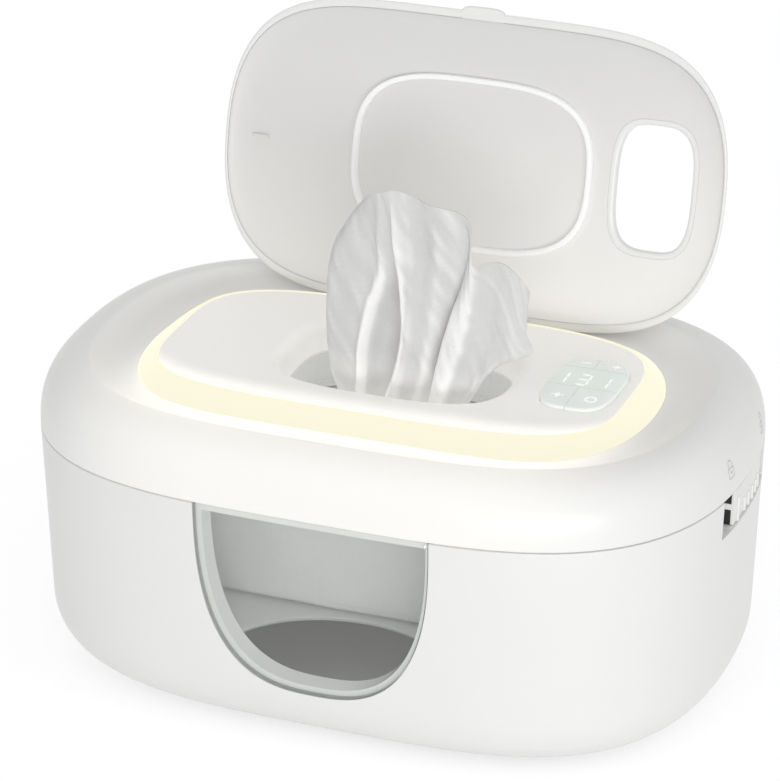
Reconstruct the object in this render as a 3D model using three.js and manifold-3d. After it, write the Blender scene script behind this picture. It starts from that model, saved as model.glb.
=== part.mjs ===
// A baby wipe warmer. A rounded case with a clear front window holds a pack of wipes on a sprung
// plate. The top cover warms the pack from above, and carries a lit ring, a dispensing mouth, a
// small control panel and a hinged lid. Millimetres, +Z up, the front faces -Y, and the origin is
// at the middle of the footprint. The lid is modelled open, as far back as it goes.
import * as THREE from "three";
import { mergeVertices } from "three/addons/utils/BufferGeometryUtils.js";
import Module from "manifold-3d";

// Clearances and facet counts that all pieces share
const seatGap = 0.3;
const slideGap = 0.5;
const overrun = 8;
const facets = { outline: 40, window: 24, round: 16, small: 8, curl: 8, tube: 5 };

// The case and the outline that case and top cover share, rounder on the long sides than at the ends
const body = {
  length: 236,
  depth: 164.4,
  endPower: 3.63,
  sidePower: 2.37,
  wall: 2.6,
  draft: 2.6,
  base: 1.6,
  bottomRadius: 22,
  seam: 84.8,
  seamGap: 0.3,
};
const foot = { radius: 7, height: 2.4, sink: 1.1, edge: 0.8, endInset: 50, sideInset: 48.2 };

// The clear window and the frame that holds it from inside
const pane = { width: 79, height: 62.2, power: 2.7, thickness: 2.4 };
const paneFrame = { rim: 4.6, topBar: 6.4, reach: 8, flange: 3, flangeThickness: 1.6 };

// The sliding latch in each side wall
const latch = {
  recessDepth: 4.8,
  backWall: 2.7,
  recessHeight: 13.4,
  front: -21,
  rear: 27,
  pocketRim: 3,
  faceInset: 1.3,
  ribInset: 0.35,
  backInset: 4,
  length: 38.4,
  height: 12.1,
  travel: 5.4,
  bandInset: 0.6,
  bandWidth: 6,
  ribWidth: 1.2,
  ribPitch: 4.6,
  ribHeight: 7.2,
  shortRibs: 5,
  neckLength: 8,
  neckHeight: 4,
  neckRise: 4.4,
};
const hook = {
  inset: 11,
  thickness: 2.4,
  length: 14,
  height: 19.2,
  fingerReach: 6,
  fingerHeight: 2,
};
const catchRib = { length: 10, height: 2.6, lead: 1 };

// The spring bay under the pack
const seatPlate = { endInset: 23, sideInset: 23.2, endPower: 3, sidePower: 2.5, thickness: 3, edge: 2.5 };
const liftPlate = {
  endInset: 11,
  sideInset: 11.2,
  endPower: 3,
  sidePower: 2.5,
  top: 36,
  thickness: 2.4,
  skirt: 4.2,
  skirtWall: 1.8,
  edge: 1.4,
};
const frontNotch = { width: 72, depth: 29, inset: 2.2, offset: 6.5, power: 2 };
const spring = {
  radius: 8,
  wire: 1.2,
  curls: 4.5,
  endInset: 56,
  sideInset: 44.2,
  boss: 6.3,
  bossHeight: 3.5,
  leastGap: 0.4,
};
const pack = {
  endInset: 34,
  sideInset: 32.2,
  power: 8,
  taper: 9,
  fin: 9,
  finThickness: 2,
  finInset: 4,
};

// The top cover: outer shell with its dished recess
const shell = {
  rise: 20.8,
  shoulder: 15,
  shoulderPower: 2.4,
  thickness: 2.5,
  dip: 6,
  footDrop: 4.7,
  tongue: 3,
  tongueWall: 2,
  joggle: 3,
};
const boss = { radius: 3.4, bore: 1.1, endInset: 46, sideInset: 26.2, middleInset: 20.2 };
const screw = { shank: 0.8, head: 2.6, headHeight: 1.4, length: 9 };

// The sloping light ring, and the deck inside it
const lightRing = {
  footLengthShare: 0.7356,
  footDepthShare: 0.5985,
  footEndPower: 5.77,
  footSidePower: 2,
  endSlope: 8.5,
  sideSlope: 7.5,
  topEndPower: 3.85,
  topSidePower: 3.76,
  centreY: -1.3,
  proud: 0.6,
  band: 1.1,
  wall: 2.2,
  flange: 2.6,
  flangeThickness: 1.6,
};
const deck = { thickness: 2, skirt: 3, skirtWall: 1.6, edge: 0.35 };
const mouth = {
  lengthShare: 0.5428,
  depthShare: 0.705,
  power: 3.2,
  lip: 4,
  throat: 2.5,
  height: 8.7,
  wall: 1.8,
  rollShare: 0.85,
};
const lipSteps = 3;
const ledBoard = {
  outer: 2.2,
  inner: 7.5,
  thickness: 1.5,
  leds: 16,
  ledLength: 3,
  ledWidth: 2.4,
  ledHeight: 0.7,
};

// The panel of keys and the display between them
const panel = {
  width: 23.8,
  length: 38.4,
  power: 3.2,
  endInset: 15.9,
  y: 0.9,
  rise: 1,
  edge: 0.9,
  gap: 0.4,
  flange: 1,
  flangeThickness: 1.1,
  underside: 3.7,
  displayFront: -2.4,
  displayRear: 12,
  split: -0.7,
};
const board = {
  width: 27,
  length: 52,
  offset: 2,
  thickness: 1.6,
  drop: 2,
  post: 1.6,
  postInset: 2.7,
  postEndInset: 2.1,
};
const tactSwitch = { width: 4.2, height: 0.9, plunger: 1, plungerHeight: 0.3 };

// The closed bottom of the top cover and the heater under it
const underCover = { lift: 2.2, thickness: 2, rimGap: 0.4, postRadius: 2.2 };
const slotCollarWall = 1.6;
const heater = {
  endInset: 26,
  sideInset: 26.2,
  endPower: 3.4,
  sidePower: 2.8,
  thickness: 1.5,
  film: 0.6,
  filmInset: 3,
};
const powerInlet = {
  x: 45,
  barrel: 3.8,
  bore: 2.8,
  pin: 0.9,
  depth: 9,
  width: 10,
  length: 12,
  height: 7.6,
  sink: 0.6,
  setback: 2.2,
};

// The lid, given as it lies when closed, and its hinge
const lid = {
  endOverhang: 2.1,
  sideOverhang: 2.3,
  endPower: 5.08,
  sidePower: 2.38,
  offset: 1.5,
  clearance: 0.4,
  thickness: 6.4,
  shoulder: 7.5,
  crown: 0.9,
  crownInset: 22.5,
  lip: 2.8,
  skin: 2.2,
};
const liner = { setback: 0.5, fillet: 9, depth: 2.4, thickness: 1.6, groove: 0.8 };
const lidHole = {
  sideRoom: 1.2,
  endRoom: 1.9,
  power: 3.39,
  offsetX: 1.1,
  offsetY: -0.7,
  collar: 2,
  lipRound: 1,
};
const lidSeal = { inset: 1, endPower: 3.26, sidePower: 2.98, width: 1.8, tip: 0.9, standOff: 0.15 };
const thumbTab = { width: 15.2, depth: 6.4, reach: 1.6, thickness: 2.4, corner: 1.2, power: 4 };
const lidFin = { endInset: 12.5, width: 5.7, thickness: 1, height: 2 };
const hinge = {
  inset: 2.5,
  drop: 3.4,
  knuckle: 2.2,
  pin: 0.95,
  middle: 27.2,
  lug: 9.8,
  post: 2.8,
  openDegrees: 103.3,
};

// The wipe that stands in the mouth
const wipe = {
  thickness: 1.2,
  halfWidth: 24,
  height: 64,
  y: -11,
  fold: 6,
  bundle: 14,
  gatherShare: 0.45,
  levels: 9,
};

const wasm = await Module();
wasm.setup();

// A closed geometry as a solid that can be joined and cut
function solidOf(geometry) {
  geometry.deleteAttribute("normal");
  geometry.deleteAttribute("uv");
  const merged = mergeVertices(geometry);
  return new wasm.Manifold(
    new wasm.Mesh({
      numProp: merged.attributes.position.itemSize,
      vertProperties: new Float32Array(merged.attributes.position.array),
      triVerts: new Uint32Array(merged.index.array),
    }),
  );
}

// A finished solid as a named mesh with its own material
function addPiece(parent, name, solid, look) {
  const data = solid.getMesh();
  const geometry = new THREE.BufferGeometry();
  geometry.setAttribute("position", new THREE.BufferAttribute(data.vertProperties, data.numProp));
  geometry.setIndex(new THREE.BufferAttribute(data.triVerts, 1));
  geometry.computeVertexNormals();
  const mesh = new THREE.Mesh(geometry, new THREE.MeshStandardMaterial(look));
  mesh.name = name;
  parent.add(mesh);
  return mesh;
}

// A rounded outline: half-lengths a and b, powers p and q that round its ends and sides, a centre
function outline(length, depth, p, q, x = 0, y = 0) {
  return { a: length / 2, b: depth / 2, p, q, x, y };
}

function grow(shape, distance, sideDistance = distance) {
  return { ...shape, a: shape.a + distance, b: shape.b + sideDistance };
}

// An outline inside the case, set in from its ends and its sides
function insideBody({ endInset, sideInset, endPower, sidePower }, y = 0) {
  return outline(body.length - 2 * endInset, body.depth - 2 * sideInset, endPower, sidePower, 0, y);
}

// The four points set in from the ends and sides of the body, left before right and front before rear
function cornerPlaces({ endInset, sideInset }) {
  const x = body.length / 2 - endInset;
  const y = body.depth / 2 - sideInset;
  return [
    [-x, -y],
    [x, -y],
    [-x, y],
    [x, y],
  ];
}

function between(from, to, share) {
  const mixed = {};
  for (const key of Object.keys(from)) mixed[key] = from[key] + (to[key] - from[key]) * share;
  return mixed;
}

// The point of an outline in one direction from its centre, found by halving
const halvings = 40;
function edgePoint(shape, angle) {
  const across = Math.abs(Math.cos(angle));
  const along = Math.abs(Math.sin(angle));
  let low = 0;
  let high = Math.SQRT2;
  for (let step = 0; step < halvings; step += 1) {
    const middle = (low + high) / 2;
    if ((middle * across) ** shape.p + (middle * along) ** shape.q < 1) low = middle;
    else high = middle;
  }
  return [shape.x + shape.a * low * Math.cos(angle), shape.y + shape.b * low * Math.sin(angle)];
}

// A horizontal ring of points round an outline
function ring(shape, z, count = facets.outline) {
  const points = [];
  for (let i = 0; i < count; i += 1) {
    const [x, y] = edgePoint(shape, (i / count) * 2 * Math.PI);
    points.push(new THREE.Vector3(x, y, z));
  }
  return points;
}

// A skin through rings of points, closed by caps at its ends or by joining its last ring to its first
function loft(rings, joined = false) {
  const count = rings[0].length;
  const points = rings.flat();
  const faces = [];
  for (let level = 0; level < rings.length - (joined ? 0 : 1); level += 1) {
    const above = (level + 1) % rings.length;
    for (let i = 0; i < count; i += 1) {
      const next = (i + 1) % count;
      const [a, b] = [level * count + i, level * count + next];
      const [c, d] = [above * count + next, above * count + i];
      faces.push(a, b, c, a, c, d);
    }
  }
  if (!joined) {
    for (const level of [0, rings.length - 1]) {
      const centre = points.length;
      const sum = rings[level].reduce((total, p) => total.add(p), new THREE.Vector3());
      points.push(sum.divideScalar(count));
      for (let i = 0; i < count; i += 1) {
        const edge = [level * count + i, level * count + ((i + 1) % count)];
        if (level === 0) edge.reverse();
        faces.push(centre, ...edge);
      }
    }
  }
  const geometry = new THREE.BufferGeometry().setFromPoints(points);
  geometry.setIndex(faces);
  return solidOf(geometry);
}

// A flat ring between two outlines
function annulus(outer, inner, bottom, top, count = facets.outline) {
  const rings = [ring(outer, bottom, count), ring(outer, top, count)];
  rings.push(ring(inner, top, count), ring(inner, bottom, count));
  return loft(rings, true);
}

// A straight-sided solid of one outline
function prism(shape, bottom, top, count = facets.outline) {
  return loft([ring(shape, bottom, count), ring(shape, top, count)]);
}

// A box from its low and high corner on each axis
function block(xs, ys, zs) {
  const low = [xs, ys, zs].map((pair) => Math.min(...pair));
  const high = [xs, ys, zs].map((pair) => Math.max(...pair));
  const geometry = new THREE.BoxGeometry(high[0] - low[0], high[1] - low[1], high[2] - low[2]);
  const middle = low.map((value, axis) => (value + high[axis]) / 2);
  geometry.translate(...middle);
  return solidOf(geometry);
}

// A cylinder along one axis: x, y or z
function rod(axis, radius, from, to, centre, count = facets.round) {
  const geometry = new THREE.CylinderGeometry(radius, radius, Math.abs(to - from), count);
  if (axis === "z") geometry.rotateX(Math.PI / 2);
  if (axis === "x") geometry.rotateZ(-Math.PI / 2);
  const middle = (from + to) / 2;
  if (axis === "x") geometry.translate(middle, centre[0], centre[1]);
  if (axis === "y") geometry.translate(centre[0], middle, centre[1]);
  if (axis === "z") geometry.translate(centre[0], centre[1], middle);
  return solidOf(geometry);
}

// A solid extruded along Y from points in X and Z
function frontPrism(points, front, rear) {
  const shape = new THREE.Shape(points.map(([x, z]) => new THREE.Vector2(x, z)));
  const geometry = new THREE.ExtrudeGeometry(shape, { depth: rear - front, bevelEnabled: false });
  geometry.rotateX(Math.PI / 2);
  geometry.translate(0, rear, 0);
  return solidOf(geometry);
}

function union(...solids) {
  return solids.reduce((total, next) => total.add(next));
}

function cut(solid, ...tools) {
  return tools.reduce((rest, tool) => rest.subtract(tool), solid);
}

const bodyOutline = outline(body.length, body.depth, body.endPower, body.sidePower);
const caseTop = body.seam - body.seamGap / 2;
const caseFloor = body.base + body.wall;
const shellBottom = body.seam + body.seamGap / 2;
const crestZ = body.seam + shell.rise;
const recessFloorZ = crestZ - shell.dip;
const ringFootZ = crestZ - shell.footDrop;
const ringTopZ = crestZ + lightRing.proud;
const ringFoot = outline(
  body.length * lightRing.footLengthShare,
  body.depth * lightRing.footDepthShare,
  lightRing.footEndPower,
  lightRing.footSidePower,
  0,
  lightRing.centreY,
);
const ringTop = {
  ...grow(ringFoot, -lightRing.endSlope, -lightRing.sideSlope),
  p: lightRing.topEndPower,
  q: lightRing.topSidePower,
};
const mouthOutline = outline(
  2 * ringTop.a * mouth.lengthShare,
  2 * ringTop.b * mouth.depthShare,
  mouth.power,
  mouth.power,
  0,
  lightRing.centreY,
);
const slotOutline = grow(mouthOutline, -mouth.lip - mouth.throat);
const lidCentreY = lightRing.centreY + lid.offset;
const lidOutline = {
  ...grow(ringFoot, lid.endOverhang, lid.sideOverhang),
  p: lid.endPower,
  q: lid.sidePower,
  y: lidCentreY,
};
const lidRim = ringTopZ + lid.clearance;
const hingeY = lidCentreY + lidOutline.b - hinge.inset;
const hingeZ = lidRim - hinge.drop;
const coverBottom = body.seam + underCover.lift;
const coverTop = coverBottom + underCover.thickness;
const heaterTop = coverBottom - seatGap - heater.film - seatGap;
const heaterBottom = heaterTop - heater.thickness;

// How far the case wall leans in at one height
function leanAt(z) {
  return (body.draft * (body.seam - z)) / (body.seam - body.base);
}

// The part of the case wall's thickness between two depths and two heights
function wallBand(outerDepth, innerDepth, bottom, top) {
  const at = (depth, z) => ring(grow(bodyOutline, -leanAt(z) - depth), z);
  const rings = [at(outerDepth, bottom), at(outerDepth, top), at(innerDepth, top), at(innerDepth, bottom)];
  return loft(rings, true);
}

// The window's outline, open upwards, with its points in X and Z
function paneOutline(change, top) {
  const half = pane.width / 2 + change;
  const shape = outline(2 * half, 2 * (pane.height + change), pane.power, pane.power, 0, body.seam);
  const points = [[half, top]];
  for (let i = facets.window; i >= 0; i -= 1) {
    points.push(edgePoint(shape, Math.PI * (1 + i / facets.window)));
  }
  points.push([-half, top]);
  return points.filter(([, z], index) => index === 0 || index === points.length - 1 || z < top);
}

function panePrism(change, top) {
  return frontPrism(paneOutline(change, top).reverse(), -body.depth / 2 - overrun, -body.depth / 4);
}

// One latch recess, its pocket inside the wall and the slot that its neck runs in
function latchPlace(side) {
  const floor = body.seam - latch.recessHeight;
  const neckFloor = floor + latch.neckRise;
  const middle = latch.rear - latch.travel / 2 - latch.length / 2;
  return {
    floor,
    neckFloor,
    middle,
    outer: side * (body.length / 2 + overrun),
    inner: side * (body.length / 2 - latch.pocketRim - latch.recessDepth - latch.backWall - overrun),
  };
}

function latchPocket(side) {
  const place = latchPlace(side);
  const ys = [latch.front - latch.pocketRim, latch.rear + latch.pocketRim];
  const bottom = place.floor - latch.pocketRim;
  const band = wallBand(body.wall / 2, latch.recessDepth + latch.backWall, bottom, caseTop);
  return band.intersect(block([place.outer, place.inner], ys, [bottom - overrun, body.seam + overrun]));
}

function latchCuts(side) {
  const place = latchPlace(side);
  const recess = wallBand(-overrun / 2, latch.recessDepth, place.floor, body.seam + overrun).intersect(
    block([place.outer, place.inner], [latch.front, latch.rear], [place.floor, body.seam + overrun]),
  );
  const neckFront = place.middle - latch.neckLength / 2 - latch.travel - slideGap;
  const neckRear = place.middle + latch.neckLength / 2 + slideGap;
  const neckSlot = block(
    [side * (body.length / 2 - latch.backInset), place.inner],
    [neckFront, neckRear],
    [place.neckFloor - slideGap, place.neckFloor + latch.neckHeight + slideGap],
  );
  return union(recess, neckSlot);
}

const quarterSteps = 4;
const quarter = Array.from({ length: quarterSteps + 1 }, (_, step) => (step / quarterSteps) * (Math.PI / 2));

// The room inside the case, drawn in from the outer face by one distance
function caseHollow(inset) {
  const radius = body.bottomRadius - inset;
  const rings = quarter.map((angle) => {
    const z = body.base + inset + radius * (1 - Math.cos(angle));
    return ring(grow(bodyOutline, -leanAt(z) - inset - radius * (1 - Math.sin(angle))), z);
  });
  const top = body.seam + overrun;
  return loft([...rings, ring(grow(bodyOutline, -leanAt(top) - inset), top)]);
}

// The lower case: drafted walls, a generous bottom radius, the window notch and the latch recesses
function lowerCase() {
  const outer = quarter.map((angle) => {
    const z = body.base + body.bottomRadius * (1 - Math.cos(angle));
    return ring(grow(bodyOutline, -leanAt(z) - body.bottomRadius * (1 - Math.sin(angle))), z);
  });
  outer.push(ring(grow(bodyOutline, -leanAt(caseTop)), caseTop));
  let shape = cut(loft(outer), caseHollow(body.wall));
  for (const side of [-1, 1]) shape = cut(union(shape, latchPocket(side)), latchCuts(side));
  const sinks = cornerPlaces(foot).map(([x, y]) =>
    rod("z", foot.radius + seatGap, body.base - overrun, body.base + foot.sink, [x, y]),
  );
  return cut(shape, panePrism(0, body.seam + overrun), ...sinks);
}

// A rubber foot, glued into its sink
function rubberFoot(x, y) {
  const top = body.base + foot.sink - seatGap;
  const profile = [
    new THREE.Vector2(0, 0),
    new THREE.Vector2(foot.radius - foot.edge, 0),
    new THREE.Vector2(foot.radius, foot.edge),
    new THREE.Vector2(foot.radius, Math.min(top, foot.height)),
    new THREE.Vector2(0, Math.min(top, foot.height)),
  ];
  const geometry = new THREE.LatheGeometry(profile, facets.round);
  geometry.rotateX(Math.PI / 2);
  geometry.translate(x, y, 0);
  return solidOf(geometry);
}

// The clear pane, flush with the wall and curved like it
function windowPane() {
  const bottom = body.seam - pane.height - overrun;
  return wallBand(0, pane.thickness, bottom, caseTop).intersect(panePrism(-seatGap, body.seam + overrun));
}

// The frame behind the pane: a deep rim in the notch and a flange against the wall's inner face
function windowFrame() {
  const bottom = body.seam - pane.height - overrun;
  const top = caseTop - seatGap;
  const rim = wallBand(pane.thickness + seatGap, paneFrame.reach, bottom, top);
  const flangeDepth = body.wall + seatGap;
  const flange = wallBand(flangeDepth, flangeDepth + paneFrame.flangeThickness, bottom, top);
  const opening = panePrism(-paneFrame.rim, body.seam - paneFrame.topBar);
  const solid = union(
    rim.intersect(panePrism(-seatGap, body.seam + overrun)),
    flange.intersect(panePrism(paneFrame.flange, body.seam + overrun)).intersect(caseHollow(flangeDepth)),
  );
  return cut(solid, opening);
}

// A latch slider: a curved face with finger ribs, and the neck that passes through the wall
function latchSlider(side) {
  const place = latchPlace(side);
  const bottom = place.floor + slideGap;
  const top = bottom + latch.height;
  const front = place.middle - latch.length / 2 + latch.travel / 2 - slideGap;
  const rear = front + latch.length - latch.travel / 2;
  const faceBand = wallBand(latch.faceInset, latch.backInset, bottom, top);
  const ribBand = wallBand(latch.ribInset, latch.backInset, bottom, top);
  const xs = [place.outer, place.inner];
  let solid = faceBand.intersect(block(xs, [front, rear], [bottom, top]));
  const bandRear = front + latch.bandInset + latch.bandWidth;
  const frontBand = block(xs, [front + latch.bandInset, bandRear], [bottom, top]);
  solid = union(solid, ribBand.intersect(frontBand));
  for (let i = 0; i < latch.shortRibs; i += 1) {
    const y = bandRear + (i + 1) * latch.ribPitch + latch.ribWidth;
    const rib = block(xs, [y, y + latch.ribWidth], [top - latch.ribHeight, top]);
    solid = union(solid, ribBand.intersect(rib));
  }
  const neckStart = body.length / 2 - (latch.faceInset + latch.backInset) / 2;
  const neck = block(
    [side * neckStart, side * (hookPlane - hook.thickness)],
    [place.middle - latch.neckLength / 2, place.middle + latch.neckLength / 2],
    [place.neckFloor, place.neckFloor + latch.neckHeight],
  );
  return union(solid, neck);
}

const hookPlane = body.length / 2 - hook.inset;

// The hook plate on the slider's neck, with the finger that moves over the top cover's catch
function latchHook(side) {
  const place = latchPlace(side);
  const rear = place.middle + hook.length / 2 + hook.fingerReach / 2;
  const front = rear - hook.length;
  const bottom = place.neckFloor - latch.neckHeight;
  const top = bottom + hook.height;
  const xs = [side * hookPlane, side * (hookPlane - hook.thickness)];
  const plate = block(xs, [front, rear], [bottom, top]);
  const fingerEnds = [front - hook.fingerReach, front + hook.fingerHeight];
  const finger = block(xs, fingerEnds, [top - hook.fingerHeight, top]);
  const hole = block(
    [side * (hookPlane + overrun), side * (hookPlane - overrun)],
    [place.middle - latch.neckLength / 2 - seatGap, place.middle + latch.neckLength / 2 + seatGap],
    [place.neckFloor - seatGap, place.neckFloor + latch.neckHeight + seatGap],
  );
  return cut(union(plate, finger), hole);
}

function hookFingerFront() {
  const place = latchPlace(1);
  return place.middle + hook.length / 2 + hook.fingerReach / 2 - hook.length - hook.fingerReach;
}

function hookFingerBottom() {
  return latchPlace(1).neckFloor - latch.neckHeight + hook.height - hook.fingerHeight;
}

const cornerNames = ["front_left", "front_right", "rear_left", "rear_right"];

// The bow-shaped notch in the front edge of both plates
function notchTool(bottom, top) {
  const { width, depth, inset, offset, power } = frontNotch;
  const shape = outline(width, 2 * depth, power, power, offset, inset - body.depth / 2);
  return prism(shape, bottom, top);
}

const seatPlateTop = caseFloor + seatGap + seatPlate.thickness;
const liftUnderside = liftPlate.top - liftPlate.thickness;

// The plate on the case floor that the springs stand on
function springSeatPlate() {
  const shape = insideBody(seatPlate);
  const bottom = caseFloor + seatGap;
  let solid = loft([
    ring(grow(shape, -seatPlate.edge), bottom),
    ring(shape, (bottom + seatPlateTop) / 2),
    ring(grow(shape, -seatPlate.edge / 4), seatPlateTop),
  ]);
  for (const [x, y] of cornerPlaces(spring)) {
    solid = union(solid, rod("z", spring.boss, bottom + seatGap, seatPlateTop + spring.bossHeight, [x, y]));
  }
  return cut(solid, notchTool(bottom - overrun, seatPlateTop + overrun));
}

// The sprung plate under the pack, with a skirt round its edge and a stub inside each spring
function packLiftPlate() {
  const shape = insideBody(liftPlate);
  const bottom = liftPlate.top - liftPlate.skirt;
  let solid = loft([
    ring(grow(shape, -liftPlate.skirtWall), liftUnderside),
    ring(grow(shape, -liftPlate.skirtWall), bottom),
    ring(shape, bottom),
    ring(shape, liftPlate.top - liftPlate.edge),
    ring(grow(shape, -liftPlate.edge), liftPlate.top),
  ]);
  const stubBottom = liftUnderside - spring.bossHeight;
  for (const place of cornerPlaces(spring)) {
    solid = union(solid, rod("z", spring.boss, stubBottom, liftPlate.top - liftPlate.edge, place));
  }
  return cut(solid, notchTool(bottom - overrun, liftPlate.top + overrun));
}

// The centre line of a coil spring, whose two ends run straight up and down
function springLine(x, y) {
  const low = seatPlateTop + seatGap;
  const high = liftUnderside - seatGap;
  const points = [new THREE.Vector3(x + spring.radius, y, low)];
  const steps = Math.round(spring.curls * facets.curl);
  for (let i = 0; i <= steps; i += 1) {
    const angle = (i / facets.curl) * 2 * Math.PI;
    const across = spring.radius * Math.cos(angle);
    const along = spring.radius * Math.sin(angle);
    const z = low + spring.wire + ((high - low - 2 * spring.wire) * i) / steps;
    points.push(new THREE.Vector3(x + across, y + along, z));
  }
  const end = points[points.length - 1];
  points.push(new THREE.Vector3(end.x, end.y, high));
  return points;
}

// The least gap between stretches of the wire that are not neighbours
function leastGap(points) {
  let least = Infinity;
  for (let i = 0; i < points.length; i += 1) {
    for (let j = i + facets.curl / 2; j < points.length; j += 1) {
      least = Math.min(least, points[i].distanceTo(points[j]) - spring.wire);
    }
  }
  return least;
}

// A coil spring as one unbroken tube
function coilSpring(x, y) {
  const points = springLine(x, y);
  const rings = points.map((point, i) => {
    const before = points[Math.max(i - 1, 0)];
    const after = points[Math.min(i + 1, points.length - 1)];
    const ends = i === 0 || i === points.length - 1;
    const tangent = new THREE.Vector3().subVectors(after, before);
    if (ends) tangent.set(0, 0, 1);
    tangent.normalize();
    const radial = new THREE.Vector3(point.x - x, point.y - y, 0).normalize();
    const side = new THREE.Vector3().crossVectors(tangent, radial).normalize();
    const loop = [];
    for (let k = 0; k < facets.tube; k += 1) {
      const angle = (k / facets.tube) * 2 * Math.PI;
      const offset = radial.clone().multiplyScalar(Math.cos(angle) * (spring.wire / 2));
      offset.addScaledVector(side, Math.sin(angle) * (spring.wire / 2));
      loop.push(point.clone().add(offset));
    }
    return loop;
  });
  return loft(rings);
}

// A soft flow-wrapped pack of wipes: a pillow that pinches into a sealed fin at each end
function wipePack() {
  const bottom = liftPlate.top + seatGap;
  const top = heaterBottom - seatGap;
  const middle = (bottom + top) / 2;
  const half = body.length / 2 - pack.endInset;
  const depthOfPack = body.depth - 2 * pack.sideInset;
  const finDepth = depthOfPack - 2 * pack.finInset;
  const stations = [
    [half + pack.taper + pack.fin, finDepth, pack.finThickness],
    [half + pack.taper, finDepth, pack.finThickness],
    [half + pack.taper / 2, depthOfPack - pack.finInset, (top - bottom) / 2],
    [half, depthOfPack - pack.finInset / 2, top - bottom - pack.finInset / 2],
    [half - pack.taper, depthOfPack, top - bottom],
  ];
  const all = [...stations.map(([x, d, h]) => [-x, d, h]), ...stations.reverse()];
  const rings = all.map(([x, depth, height]) => {
    const section = outline(depth, height, pack.power, pack.power, 0, middle);
    const loop = [];
    for (let i = 0; i < facets.window; i += 1) {
      const [y, z] = edgePoint(section, (i / facets.window) * 2 * Math.PI);
      loop.push(new THREE.Vector3(x, y, z));
    }
    return loop;
  });
  return loft(rings);
}

const recessRim = grow(bodyOutline, -shell.shoulder);
const recessFlatShare = 0.72;

// Height of the recess between the crest, at share 0, and the light ring's foot, at share 1
function recessHeight(share) {
  const fall = Math.min(share / recessFlatShare, 1);
  const dish = crestZ - (shell.dip * (1 - Math.cos(Math.PI * fall))) / 2;
  const rise = Math.max(share - recessFlatShare, 0) / (1 - recessFlatShare);
  return dish + (shell.dip - shell.footDrop) * rise ** 2;
}

// The shoulder from the seam to the crest, drawn in by a wall thickness for its inner face
function shoulderRing(share, wall) {
  const angle = share * (Math.PI / 2);
  const power = 2 / shell.shoulderPower;
  const along = 1 - Math.cos(angle) ** power;
  const up = Math.sin(angle) ** power;
  const inset = wall + (shell.shoulder - wall) * along;
  return ring(grow(bodyOutline, -inset), shellBottom + (crestZ - wall - shellBottom) * up);
}

function recessRing(share, drop) {
  const edge = grow(ringFoot, seatGap / 2);
  return ring(between(recessRim, edge, share), recessHeight(share) - drop);
}

const shoulderShares = [0, 0.16, 0.32, 0.5, 0.74, 1];
const recessShares = [0.2, 0.38, 0.56, 0.76, 1];
const underShares = [1, 0.76, 0.38];

// The outside of the top shell as a solid block, lowered by one wall, that bosses are trimmed to
function shellCore() {
  const rings = [...shoulderShares.map((share) => shoulderRing(share, shell.thickness / 2))];
  rings.push(...recessShares.map((share) => recessRing(share, shell.thickness / 2)));
  return loft(rings);
}

function bossPlaces() {
  const middleY = body.depth / 2 - boss.middleInset;
  return [...cornerPlaces(boss), [0, -middleY], [0, middleY]];
}

// The hinge knuckle that stands on the recess floor behind the deck
function hingeKnuckle() {
  const half = hinge.middle / 2;
  const rear = hingeY + hinge.knuckle;
  const postFoot = recessFloorZ - shell.thickness / 2;
  const post = block([-half, half], [rear - hinge.post, rear], [postFoot, hingeZ]);
  const barrel = rod("x", hinge.knuckle, -half, half, [hingeY, hingeZ]);
  const bore = rod("x", hinge.pin + seatGap, -half - overrun, half + overrun, [hingeY, hingeZ]);
  return cut(union(post, barrel), bore);
}

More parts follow.
